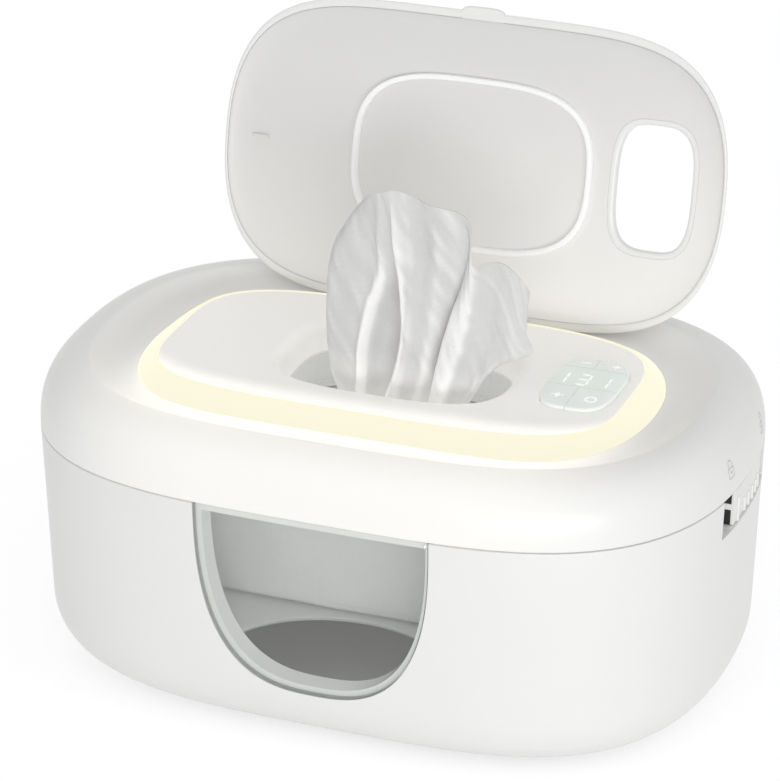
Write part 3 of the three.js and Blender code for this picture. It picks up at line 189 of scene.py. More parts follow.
def lofted(name: str, rings: Sequence[np.ndarray], joined: bool = False, capped: bool = True) -> Object:
    """Makes a skin through rings of equally many points.

    Args:
        name: Name of the object.
        rings: Arrays of points, from one end to the other.
        joined: Whether the last ring meets the first.
        capped: Whether the two ends are closed.

    Returns:
        The object.
    """
    count = len(rings[0])
    faces = []
    for level in range(len(rings) if joined else len(rings) - 1):
        low, high = level * count, ((level + 1) % len(rings)) * count
        for i in range(count):
            j = (i + 1) % count
            faces.append((low + i, low + j, high + j, high + i))
    if capped and not joined:
        faces.append(tuple(reversed(range(count))))
        faces.append(tuple(range((len(rings) - 1) * count, len(rings) * count)))
    return mesh_object(name, np.concatenate(rings), faces)


def rounded_section(low: Pair, high: Pair, radius: float, steps: int) -> np.ndarray:
    """A rectangle with rounded corners.

    Args:
        low: Low corner.
        high: High corner.
        radius: Corner radius, cut down where the rectangle is too small for it.
        steps: Steps round each corner.

    Returns:
        Rows of two coordinates.
    """
    radius = max(min(radius, (high[0] - low[0]) / 2, (high[1] - low[1]) / 2), 1e-4)
    near, far = [v + radius for v in low], [v - radius for v in high]
    rows = []
    for quarter, (cx, cy) in enumerate([far, (near[0], far[1]), near, (far[0], near[1])]):
        for k in range(steps + 1):
            turn = (quarter + k / steps) * pi / 2
            rows.append((cx + radius * cos(turn), cy + radius * sin(turn)))
    return np.array(rows)


def soft_block(name: str, low: Sequence[float], high: Sequence[float], radius: float = 0.5,
               place: Place | None = None, steps: int = 4, stations: int = 2) -> Object:
    """Makes a block with rounded edges, bent by a placing function where one is given.

    Args:
        name: Name of the object.
        low: Low corner.
        high: High corner.
        radius: Edge radius.
        place: Turns the block's own coordinates into a point in the row frame.
        steps: Steps round each edge.
        stations: Stretches along the first axis, for a block that bends.

    Returns:
        The object.
    """
    radius = min(radius, min(b - a for a, b in zip(low, high)) / 2 - 1e-3)
    turns = [k / steps * pi / 2 for k in range(steps + 1)]
    levels = [(low[0] + radius * (1 - cos(t)), radius * (1 - sin(t))) for t in turns]
    inner = np.linspace(low[0] + radius, high[0] - radius, stations + 1)[1:-1]
    levels += [(float(u), 0.0) for u in inner]
    levels += [(high[0] - radius * (1 - cos(t)), radius * (1 - sin(t))) for t in reversed(turns)]
    rings = []
    for u, inset in levels:
        section = rounded_section((low[1] + inset, low[2] + inset), (high[1] - inset, high[2] - inset),
                                  radius - inset * 0.7, steps)
        rows = [(u, v, w) for v, w in section]
        rings.append(np.array([place(*row) for row in rows] if place else rows))
    return lofted(name, rings)


def turned(name: str, profile: Sequence[Pair], axis: str, centre: Pair, count: int = 64) -> Object:
    """Turns a profile of radius and place round an axis.

    Args:
        name: Name of the object.
        profile: Pairs of radius and place along the axis.
        axis: "x", "y" or "z".
        centre: The other two coordinates, in alphabetical order.
        count: Points round the axis.

    Returns:
        The object.
    """
    turn = np.linspace(0, 2 * pi, count, endpoint=False)
    rings = []
    for radius, along in profile:
        columns = [centre[0] + radius * np.cos(turn), centre[1] + radius * np.sin(turn)]
        columns.insert("xyz".index(axis), np.full(count, along))
        rings.append(np.column_stack(columns))
    return lofted(name, rings)


def bake(made: Object) -> None:
    """Turns an object's modifiers into its mesh."""
    graph = bpy.context.evaluated_depsgraph_get()
    mesh = bpy.data.meshes.new_from_object(made.evaluated_get(graph))
    made.modifiers.clear()
    old, made.data = made.data, mesh
    bpy.data.meshes.remove(old)
    mesh.name = made.name


def carve(made: Object, tool: Object, cut: Cut) -> Object:
    """Adds, takes away or keeps what a tool solid covers, and removes the tool."""
    step = made.modifiers.new("cut", "BOOLEAN")
    step.operation, step.solver, step.object = cut.value, "EXACT", tool
    bake(made)
    bpy.data.objects.remove(tool, do_unlink=True)
    return made


def smooth(made: Object, degrees: float = 32.0) -> Object:
    """Shades a mesh smooth, with edges sharper than an angle kept."""
    mesh = made.data
    mesh.polygons.foreach_set("use_smooth", [True] * len(mesh.polygons))
    mesh.set_sharp_from_angle(angle=math.radians(degrees))
    mesh.update()
    return made


def arc(centre: Pair, radius: float, turns: Iterable[float]) -> list[Pair]:
    """Points on a circle, one for each angle."""
    return [(centre[0] + radius * cos(t), centre[1] + radius * sin(t)) for t in turns]


def ribbon(name: str, line: Sequence[Pair], width: float, place: Place, closed: bool = False,
           height: float = 0.06) -> Object:
    """Makes a thin printed or lit line on a surface.

    Args:
        name: Name of the object.
        line: Points in the surface's own two coordinates.
        width: Width of the line.
        place: Turns the two coordinates and a height above the surface into a point.
        closed: Whether the line runs back to its start.
        height: Thickness of the line.

    Returns:
        The object.
    """
    points = np.array(line, float)
    ahead = np.roll(points, -1, 0) - points
    behind = points - np.roll(points, 1, 0)
    if not closed:
        ahead[-1], behind[0] = behind[-1], ahead[0]
    unit = lambda v: v / np.maximum(np.linalg.norm(v, axis=1, keepdims=True), 1e-9)
    along = unit(unit(ahead) + unit(behind))
    side = np.column_stack([-along[:, 1], along[:, 0]])
    stretch = 1 / np.maximum((side * np.column_stack([-unit(ahead)[:, 1], unit(ahead)[:, 0]])).sum(1), 0.5)
    reach = side * (stretch * width / 2)[:, None]
    rings = []
    for p, r in zip(points, reach):
        rows = [(p + r, 0.0), (p + r, height), (p - r, height), (p - r, 0.0)]
        rings.append(np.array([place(q[0], q[1], lift) for q, lift in rows]))
    return lofted(name, rings, joined=closed)


def laid_on(target: Object, axis: int, side: int = 1, sink: float = 0.02) -> Place:
    """A placing function that lays a drawing on a piece's surface, seen along one axis.

    Args:
        target: The piece that carries the drawing.
        axis: Axis that the drawing is seen along, 0 for X and 2 for Z.
        side: 1 to look from the axis's far end, -1 from its near end.
        sink: How deep the drawing's underside lies in the surface.

    Returns:
        A function of the two other coordinates and a height above the surface.
    """
    shape = bmesh.new()
    shape.from_mesh(target.data)
    tree = BVHTree.FromBMesh(shape)
    shape.free()
    look = Vector([-float(side) if i == axis else 0.0 for i in range(3)])

    def place(u: float, v: float, lift: float) -> Triple:
        """The point of the surface at two coordinates, raised by a height."""
        start = [u * MM, v * MM]
        start.insert(axis, side * 0.5)
        hit, normal = tree.ray_cast(Vector(start), look)[:2]
        return tuple((hit + normal * (lift - sink) * MM) / MM)

    return place


def join(made: Object, other: Object) -> Object:
    """Adds another object's faces to a piece without cutting either, and removes the other object."""
    shape = bmesh.new()
    shape.from_mesh(made.data)
    shape.from_mesh(other.data)
    shape.to_mesh(made.data)
    shape.free()
    bpy.data.objects.remove(other, do_unlink=True)
    return made


def tube(name: str, path: np.ndarray, radius: float, sides: int = 20) -> Object:
    """Makes a round wire along a path of points."""
    ahead = np.gradient(path, axis=0)
    ahead /= np.linalg.norm(ahead, axis=1, keepdims=True)
    up = np.array([0.0, 0.0, 1.0])
    rings = []
    for point, direction in zip(path, ahead):
        across = np.cross(direction, up)
        if np.linalg.norm(across) < 1e-3:
            across = np.cross(direction, [0.0, 1.0, 0.0])
        across /= np.linalg.norm(across)
        other = np.cross(across, direction)
        turn = np.linspace(0, 2 * pi, sides, endpoint=False)[:, None]
        rings.append(point + radius * (np.cos(turn) * across + np.sin(turn) * other))
    return lofted(name, rings)


def spline(rows: np.ndarray, steps: int) -> np.ndarray:
    """Smooth points through rows of control points.

    Args:
        rows: Control points along the first axis.
        steps: New stretches for each old one.

    Returns:
        The points, the control points among them.
    """
    padded = np.concatenate([2 * rows[:1] - rows[1:2], rows, 2 * rows[-1:] - rows[-2:-1]])
    made = []
    for i in range(len(rows) - 1):
        a, b, c, d = padded[i], padded[i + 1], padded[i + 2], padded[i + 3]
        for k in range(steps):
            t = k / steps
            made.append(0.5 * (2 * b + (c - a) * t + (2 * a - 5 * b + 4 * c - d) * t * t
                               + (3 * b - a - 3 * c + d) * t ** 3))
    made.append(rows[-1])
    return np.array(made)


def settle(made: Object, finish: Material, body: BodyName | str, slot: str, *nodes: str) -> Object:
    """Dresses a piece, lets it ride on a body, and hides the CAD nodes it stands for.

    Args:
        made: The piece.
        finish: Its material.
        body: The body it rides on.
        slot: Not used; the record's slot its finish belongs to.
        *nodes: CAD nodes that it stands for.

    Returns:
        The piece.
    """
    dress(made, finish)
    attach(made, body.value if isinstance(body, BodyName) else body)
    if nodes:
        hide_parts(*nodes)
    LOG.info("%s: %d faces", made.name, len(made.data.polygons))
    return made


def dress(made: Object, material: Material) -> Object:
    """Gives an object one material."""
    made.data.materials.clear()
    made.data.materials.append(material)
    return made


def points_of(made: Object) -> np.ndarray:
    """The points of a piece in millimetres."""
    points = np.empty(len(made.data.vertices) * 3, np.float32)
    made.data.vertices.foreach_get("co", points)
    return points.reshape(-1, 3) / MM


def away_from(edge: Outline, points: np.ndarray) -> np.ndarray:
    """Distance of each point from an outline, seen from above."""
    loop = edge.loop()
    return np.array([np.hypot(*(loop - point).T).min() for point in points[:, :2]])


def store_share(made: Object, name: str, share: np.ndarray) -> None:
    """Stores one value on each point of a piece, for its finish to read."""
    layer = made.data.attributes.new(name, "FLOAT", "POINT")
    layer.data.foreach_set("value", np.clip(share, 0, 1).astype(np.float32).ravel())


# Finishes


def linear(colour: str) -> tuple[float, float, float, float]:
    """Turns an sRGB hex colour into a linear one with full alpha."""
    values = [int(colour[i:i + 2], 16) / 255 for i in (1, 3, 5)]
    return tuple(v / 12.92 if v <= 0.04045 else ((v + 0.055) / 1.055) ** 2.4 for v in values) + (1.0,)


def add_node(tree: NodeTree, kind: str, inputs: dict | None = None, **settings: object) -> Node:
    """Adds one shader node.

    Args:
        tree: Node tree that gets it.
        kind: Blender's name of the node without its "ShaderNode" start.
        inputs: For an input's name or number, a value, an output, or a node whose first output is linked.
        **settings: Properties of the node.

    Returns:
        The node.
    """
    node = tree.nodes.new("ShaderNode" + kind)
    for key, value in settings.items():
        setattr(node, key, value)
    for key, value in (inputs or {}).items():
        if isinstance(value, (Node, NodeSocket)):
            tree.links.new(value.outputs[0] if isinstance(value, Node) else value, node.inputs[key])
        else:
            node.inputs[key].default_value = value
    return node


def per_metre(size_mm: float) -> float:
    """Texture scale at which a pattern repeats about once in a length."""
    return 1 / (size_mm * MM)


def shaded(colour: str, factor: float) -> tuple[float, ...]:
    """A hex colour made darker or paler by a factor, as a linear one."""
    return tuple(min(c * factor, 0.99) for c in linear(colour)[:3]) + (1.0,)


def new_material(name: str) -> tuple[Material, NodeTree]:
    """An empty node material and its tree."""
    material = bpy.data.materials.new(name)
    material.use_nodes = True
    material.node_tree.nodes.clear()
    return material, material.node_tree


class Finish:
    """A finish whose patterns are laid out in the piece's own metres."""

    name: str

    def surface(self, tree: NodeTree, where: NodeSocket) -> Node:
        """Adds the nodes of the finish.

        Args:
            tree: Node tree of the material.
            where: Output that gives a point's place on the piece.

        Returns:
            The shader of the surface.
        """
        raise NotImplementedError

    def material(self) -> Material:
        """Builds the node material."""
        made, tree = new_material(self.name)
        where = add_node(tree, "TexCoord").outputs["Object"]
        add_node(tree, "OutputMaterial", {"Surface": self.surface(tree, where)})
        return made


@dataclass(frozen=True)
class MouldedPlastic(Finish):
    """Injection-moulded plastic: even colour, a faint spark-eroded grain, edges that catch the light."""

    name: str
    colour: str
    roughness: float = 0.34
    ior: float = 1.53
    # The real grain is about 0.1 mm; it is drawn coarser so that it shows at this distance
    grain_mm: float = 0.55
    grain_height_mm: float = 0.004
    mottle_mm: float = 60.0
    mottle: float = 0.012
    edge_mm: float = 0.35
    coat: float = 0.0
    glow: str = "#000000"
    glow_strength: float = 0.0
    soft: float = 0.0
    # Strength of the painted lamp light where the piece's stored share is 1
    painted_glow: float = 0.0

    def surface(self, tree: NodeTree, where: NodeSocket) -> Node:
        """Adds mottle, grain and softened edges, and an even glow or painted lamp light by the stored share."""
        broad = add_node(tree, "TexNoise", {"Vector": where, "Scale": per_metre(self.mottle_mm), "Detail": 2.0})
        colour = add_node(tree, "MixRGB", {"Fac": broad, "Color1": shaded(self.colour, 1 - self.mottle),
                                           "Color2": shaded(self.colour, 1 + self.mottle)})
        rough = add_node(tree, "MapRange", {"Value": broad, "To Min": self.roughness * 0.92,
                                            "To Max": self.roughness * 1.08})
        grain = add_node(tree, "TexNoise", {"Vector": where, "Scale": per_metre(self.grain_mm), "Detail": 3.0})
        edge = add_node(tree, "Bevel", {"Radius": self.edge_mm * MM}, samples=4)
        bump = add_node(tree, "Bump", {"Strength": 1.0, "Distance": self.grain_height_mm * MM, "Height": grain,
                                       "Normal": edge})
        glow = self.glow_strength
        # Painted light: emission by the stored share, standing in for the lamp's light on the surface
        if self.painted_glow:
            near = add_node(tree, "Attribute", attribute_name=PAINTED_LAMP_LIGHT).outputs["Fac"]
            glow = add_node(tree, "MapRange", {"Value": near, "To Max": self.painted_glow})
        return add_node(tree, "BsdfPrincipled", {
            "Base Color": colour, "Roughness": rough, "IOR": self.ior, "Normal": bump, "Coat Weight": self.coat,
            "Coat Roughness": 0.06, "Emission Color": linear(self.glow), "Emission Strength": glow,
            "Subsurface Weight": self.soft, "Subsurface Radius": (1.0, 0.9, 0.8),
            "Subsurface Scale": 2.5 * MM})


@dataclass(frozen=True)
class ClearPlastic(Finish):
    """Moulded clear plastic: mostly see-through, a little milky, with sharp reflections at a slant."""

    name: str
    colour: str
    tint: str = "#FBFCFB"
    haze: float = 0.04
    slant_haze: float = 0.35
    roughness: float = 0.04
    ior: float = 1.56
    # Painted glow, standing in for light that the plastic carries along inside and lets out again
    carried: float = 0.0
    wave_mm: float = 18.0
    wave_height_mm: float = 0.02

    def surface(self, tree: NodeTree, where: NodeSocket) -> Node:
        """Adds a clear body that turns milky at a slant, under a gloss that only outer faces have."""
        flow = add_node(tree, "TexNoise", {"Vector": where, "Scale": per_metre(self.wave_mm), "Detail": 1.0})
        normal = add_node(tree, "Bump", {"Distance": self.wave_height_mm * MM, "Height": flow})
        slant = add_node(tree, "LayerWeight", {"Blend": 0.3, "Normal": normal}).outputs["Facing"]
        haze = add_node(tree, "MapRange", {"Value": slant, "To Min": self.haze, "To Max": self.slant_haze})
        clear = add_node(tree, "BsdfTransparent", {"Color": linear(self.tint)})
        # The milky part glows by the painted carried light
        milk = add_node(tree, "BsdfPrincipled", {
            "Base Color": linear(self.colour), "Roughness": 0.4, "Normal": normal,
            "Emission Color": linear(self.colour), "Emission Strength": self.carried})
        body = add_node(tree, "MixShader", {"Fac": haze, 1: clear, 2: milk})
        mirror = add_node(tree, "Fresnel", {"IOR": self.ior, "Normal": normal})
        inner = add_node(tree, "NewGeometry").outputs["Backfacing"]
        shine = add_node(tree, "Math", {0: mirror, 1: inner}, operation="SUBTRACT", use_clamp=True)
        gloss = add_node(tree, "BsdfGlossy", {"Roughness": self.roughness, "Normal": normal})
        return add_node(tree, "MixShader", {"Fac": shine, 1: body, 2: gloss})


@dataclass(frozen=True)
class DrawnMetal(Finish):
    """Drawn or rolled metal: fine lines along one axis that stretch the highlight."""

    name: str
    colour: str
    roughness: float = 0.28
    # Real draw lines are about 0.02 mm apart; they are drawn at a tenth of a millimetre to show
    line_mm: float = 0.1
    line_height_mm: float = 0.003
    stretch: Triple = (0.05, 1.0, 1.0)
    edge_mm: float = 0.15

    def surface(self, tree: NodeTree, where: NodeSocket) -> Node:
        """Adds the draw lines to the roughness and the relief."""
        drawn = add_node(tree, "Mapping", {"Vector": where, "Scale": self.stretch})
        lines = add_node(tree, "TexNoise", {"Vector": drawn, "Scale": per_metre(self.line_mm), "Detail": 2.0})
        rough = add_node(tree, "MapRange", {"Value": lines, "To Min": self.roughness * 0.75,
                                            "To Max": self.roughness * 1.3})
        edge = add_node(tree, "Bevel", {"Radius": self.edge_mm * MM}, samples=4)
        bump = add_node(tree, "Bump", {"Distance": self.line_height_mm * MM, "Height": lines, "Normal": edge})
        return add_node(tree, "BsdfPrincipled", {"Base Color": linear(self.colour), "Metallic": 1.0,
                                                 "Roughness": rough, "Normal": bump})


@dataclass(frozen=True)
class PrintedFilm(Finish):
    """Printed polypropylene film: glossy, thin, crinkled, with one plain pale band as its print."""

    name: str
    colour: str
    band_colour: str
    band_from_mm: float
    band_to_mm: float
    band_blur_mm: float = 0.4
    roughness: float = 0.24
    crinkle_mm: float = 9.0
    crinkle_height_mm: float = 0.35

    def surface(self, tree: NodeTree, where: NodeSocket) -> Node:
        """Adds the band between its two heights, and the crinkles."""
        low, high, blur = self.band_from_mm, self.band_to_mm, self.band_blur_mm
        height = add_node(tree, "SeparateXYZ", {"Vector": where}).outputs["Z"]
        rise = add_node(tree, "MapRange", {"Value": height, "From Min": (low - blur) * MM, "From Max": low * MM})
        fall = add_node(tree, "MapRange", {"Value": height, "From Min": high * MM,
                                           "From Max": (high + blur) * MM, "To Min": 1.0, "To Max": 0.0})
        inside = add_node(tree, "Math", {0: rise, 1: fall}, operation="MULTIPLY")
        colour = add_node(tree, "MixRGB", {"Fac": inside, "Color1": linear(self.colour),
                                           "Color2": linear(self.band_colour)})
        folds = add_node(tree, "TexNoise", {"Vector": where, "Scale": per_metre(self.crinkle_mm), "Detail": 4.0,
                                            "Distortion": 0.8})
        bump = add_node(tree, "Bump", {"Distance": self.crinkle_height_mm * MM, "Height": folds})
        return add_node(tree, "BsdfPrincipled", {"Base Color": colour, "Roughness": self.roughness, "IOR": 1.5,
                                                 "Normal": bump, "Coat Weight": 0.3, "Coat Roughness": 0.1})


@dataclass(frozen=True)
class WetNonwoven(Finish):
    """Spun-laced non-woven cloth, damp: matt fibres, with painted light on the ridges of its folds and painted
    shade in its pockets.
    """

    name: str
    colour: str
    roughness: float = 0.62
    # Fibres are about 0.02 mm thick; the web of their bundles, about 0.8 mm, is what shows
    web_mm: float = 1.6
    web_height_mm: float = 0.12
    fleck: float = 0.12
    crease_mm: float = 7.0
    crease_height_mm: float = 0.25
    # Painted shade in the folds' pockets and painted light on their ridges, as factors on the colour
    painted_pocket_shade: float = 0.86
    painted_ridge_light: float = 1.4
    painted_glow: float = 0.2
    let_through: float = 0.22

    def surface(self, tree: NodeTree, where: NodeSocket) -> Node:
        """Adds web and creases, painted light and shade by the folds' relief, painted lamp light near the mouth,
        and some light let through.
        """
        web = add_node(tree, "TexNoise", {"Vector": where, "Scale": per_metre(self.web_mm), "Detail": 5.0,
                                          "Roughness": 0.65})
        creases = add_node(tree, "TexNoise", {"Vector": where, "Scale": per_metre(self.crease_mm), "Detail": 3.0})
        fine = add_node(tree, "Bump", {"Distance": self.web_height_mm * MM, "Height": web})
        bump = add_node(tree, "Bump", {"Distance": self.crease_height_mm * MM, "Height": creases, "Normal": fine})
        # Painted light and shade from the stored relief of the folds
        relief = add_node(tree, "Attribute", attribute_name=FOLD_SHADE_MASK).outputs["Fac"]
        fleck = add_node(tree, "MapRange", {"Value": web, "To Min": -self.fleck, "To Max": self.fleck})
        share = add_node(tree, "Math", {0: relief, 1: fleck}, operation="ADD", use_clamp=True)
        colour = add_node(tree, "MixRGB", {"Fac": share, "Color1": shaded(self.colour, self.painted_pocket_shade),
                                           "Color2": shaded(self.colour, self.painted_ridge_light)})
        near = add_node(tree, "Attribute", attribute_name=PAINTED_LAMP_LIGHT).outputs["Fac"]
        spill = add_node(tree, "MapRange", {"Value": near, "To Max": self.painted_glow})
        shader = add_node(tree, "BsdfPrincipled", {
            "Base Color": colour, "Roughness": self.roughness, "Normal": bump, "Sheen Weight": 0.25,
            "Sheen Roughness": 0.4, "Emission Color": linear("#FFFDF6"), "Emission Strength": spill})
        through = add_node(tree, "BsdfTranslucent", {"Color": colour, "Normal": bump})
        return add_node(tree, "MixShader", {"Fac": self.let_through, 1: shader, 2: through})


class Finishes:
    """Every finish of the warmer, made once."""

    def __init__(self) -> None:
        """Builds the materials."""
        # Satin ABS: white with a broad soft highlight on its shoulder
        self.shell = MouldedPlastic("satin_white_abs", "#EEEEED", roughness=0.34).material()
        # The same ABS over the lamp board, with painted ring light glowing on the recess beside the ring
        self.painted_light_shell = MouldedPlastic("satin_white_abs_painted_light", "#EEEEED", roughness=0.34, glow="#FFF8E6",
                                        painted_glow=0.5).material()
        # The deck: a hair whiter than the shell as painted light, and a little duller; painted lamp light glows
        # all over it, strongest at its front edge by the ring
        self.deck = MouldedPlastic("deck_white_abs_painted_light", "#EFEFEE", roughness=0.4, glow="#FFF9EC",
                                   painted_glow=0.4).material()
        # Lid lining, its grey darker than the shell's as painted shade; painted ring light glows at its lower end
        self.liner = MouldedPlastic("lining_abs_painted_shade_and_light", "#D8D8D8", roughness=0.45, glow="#FFF8EC",
                                    painted_glow=0.24).material()
        # The same grade round the mouth, with an even painted glow that stands in for the lamp board's light
        # coming through
        self.inner_painted_glow = MouldedPlastic("inner_white_abs_painted_glow", "#EDEDEB", roughness=0.5, glow="#FFFFFF",
                                        glow_strength=0.12).material()
        # Inner mouldings that nobody sees at close range
        self.inner = MouldedPlastic("inner_white_abs", "#E6E7E4", roughness=0.5).material()
        # Opal polycarbonate lit from behind: a warm even glow that spills on the recess
        self.diffuser = MouldedPlastic("lit_opal_polycarbonate", "#57554D", roughness=0.5, ior=1.58,
                                       glow="#FFFBE0", glow_strength=0.85).material()
        self.window = ClearPlastic("clear_styrene", "#E4E7E4", tint="#FCFCFC").material()
        # The window's thick inner rim: the same clear plastic seen end on, milky, with a painted glow that lifts
        # its shaded inner wall
        self.window_frame = ClearPlastic("milky_styrene_rim", "#F2F4F1", tint="#F3F6F2", haze=0.8, slant_haze=0.95,
                                         roughness=0.1, carried=0.14).material()
        # Cut edge of the pane, painted dark as the shade of the gap around it
        self.window_edge = ClearPlastic("clear_styrene_edge_painted_shade", "#A4A8A5", tint="#BCC0BD", haze=0.7, slant_haze=0.9,
                                        roughness=0.1).material()
        # Touch panel: clear gloss over a pale green-grey print, with an even painted glow
        self.panel = MouldedPlastic("gloss_panel_acrylic_painted_glow", "#EFF3F0", roughness=0.16, ior=1.49, coat=0.4,
                                    grain_height_mm=0.0008, glow="#F4FFF8", glow_strength=0.12).material()
        self.display = MouldedPlastic("lit_panel_acrylic", "#E6EDE8", roughness=0.14, ior=1.49, coat=0.4,
                                      grain_height_mm=0.0008, glow="#E4F6EA", glow_strength=0.17).material()
        self.lit_digit = MouldedPlastic("lit_display_segment", "#F4FAF6", roughness=0.5, glow="#F4FFF8",
                                        glow_strength=0.4).material()
        # White print of the key signs, brightened by a painted glow
        self.icon = MouldedPlastic("white_panel_print_painted_glow", "#F8FBF9", roughness=0.4, glow="#F4FFF8",
                                   glow_strength=0.36).material()
        self.mark = MouldedPlastic("grey_pad_print", "#C6C8CA", roughness=0.5).material()
        self.rubber = MouldedPlastic("grey_rubber", "#8D8F90", roughness=0.88, ior=1.52, grain_height_mm=0.02,
                                     grain_mm=0.7).material()
        # Seal silicone with an even painted glow
        self.silicone = MouldedPlastic("white_silicone", "#F4F4F4", roughness=0.5, ior=1.41, soft=0.1,
                                       glow="#FFFFFF", glow_strength=0.1).material()
        self.springs = DrawnMetal("drawn_spring_steel", "#8E9296", roughness=0.26).material()
        self.pin = DrawnMetal("ground_steel_pin", "#B8BBBE", roughness=0.22).material()
        self.screws = DrawnMetal("zinc_plated_steel", "#BFC2C6", roughness=0.35).material()
        # Heater: a thin element and its plate, both sealed in white silicone, with an even painted glow that lifts
        # them out of shade
        self.film = MouldedPlastic("white_silicone_film_painted_glow", "#F4F4F2", roughness=0.5, ior=1.41, glow="#FFFFFF",
                                   glow_strength=0.1).material()
        # Solder-masked board: dark green gloss
        self.board = MouldedPlastic("green_solder_mask", "#1F5A3C", roughness=0.3, coat=0.3).material()
        # Black nylon for the switches, inlet and display block; on the slider guides the same black is painted
        # shade in the slot
        self.dark = MouldedPlastic("black_nylon_and_painted_shade", "#17181A", roughness=0.45).material()
        self.pack = PrintedFilm("wipe_pack_film", "#D9DBD9", "#B9D6CF", 66.0, 72.0).material()
        self.cloth = WetNonwoven("damp_nonwoven", "#E4E4E4").material()


# The shape that case and cover share


@dataclass(frozen=True)
class BodyForm:
    """The outline and wall that the case and the top cover share."""

    length: float = 236.0
    depth: float = 164.4
    end_power: float = 3.63
    side_power: float = 2.37
    wall: float = 2.6
    draft: float = 2.6
    base: float = 1.6
    bottom_radius: float = 22.0
    seam: float = 84.8
    seam_gap: float = 0.3
    crest: float = 105.6

    @property
    def outline(self) -> Outline:
        """The body's outline at the seam."""
        return Outline(self.length / 2, self.depth / 2, self.end_power, self.side_power)

    @property
    def case_top(self) -> float:
        """Height of the case's upper edge."""
        return self.seam - self.seam_gap / 2

    @property
    def shell_bottom(self) -> float:
        """Height of the top shell's lower edge."""
        return self.seam + self.seam_gap / 2

    def lean(self, z: float) -> float:
        """How far the case wall leans in at one height."""
        return self.draft * (self.seam - z) / (self.seam - self.base)

    def wall_outline(self, z: float, inset: float = 0.0) -> Outline:
        """The case wall's outline at one height, set in by a depth."""
        return self.outline.grown(-self.lean(z) - inset)

    def end_point(self, side: int, y: float, inset: float, z: float) -> Triple:
        """A point at a depth in the end wall, side -1 left and 1 right."""
        return side * self.wall_outline(z, inset).reach_x(y), y, z

    def front_point(self, x: float, inset: float, z: float) -> Triple:
        """A point at a depth in the front wall."""
        return x, -self.wall_outline(z, inset).reach_y(x), z


FORM = BodyForm()


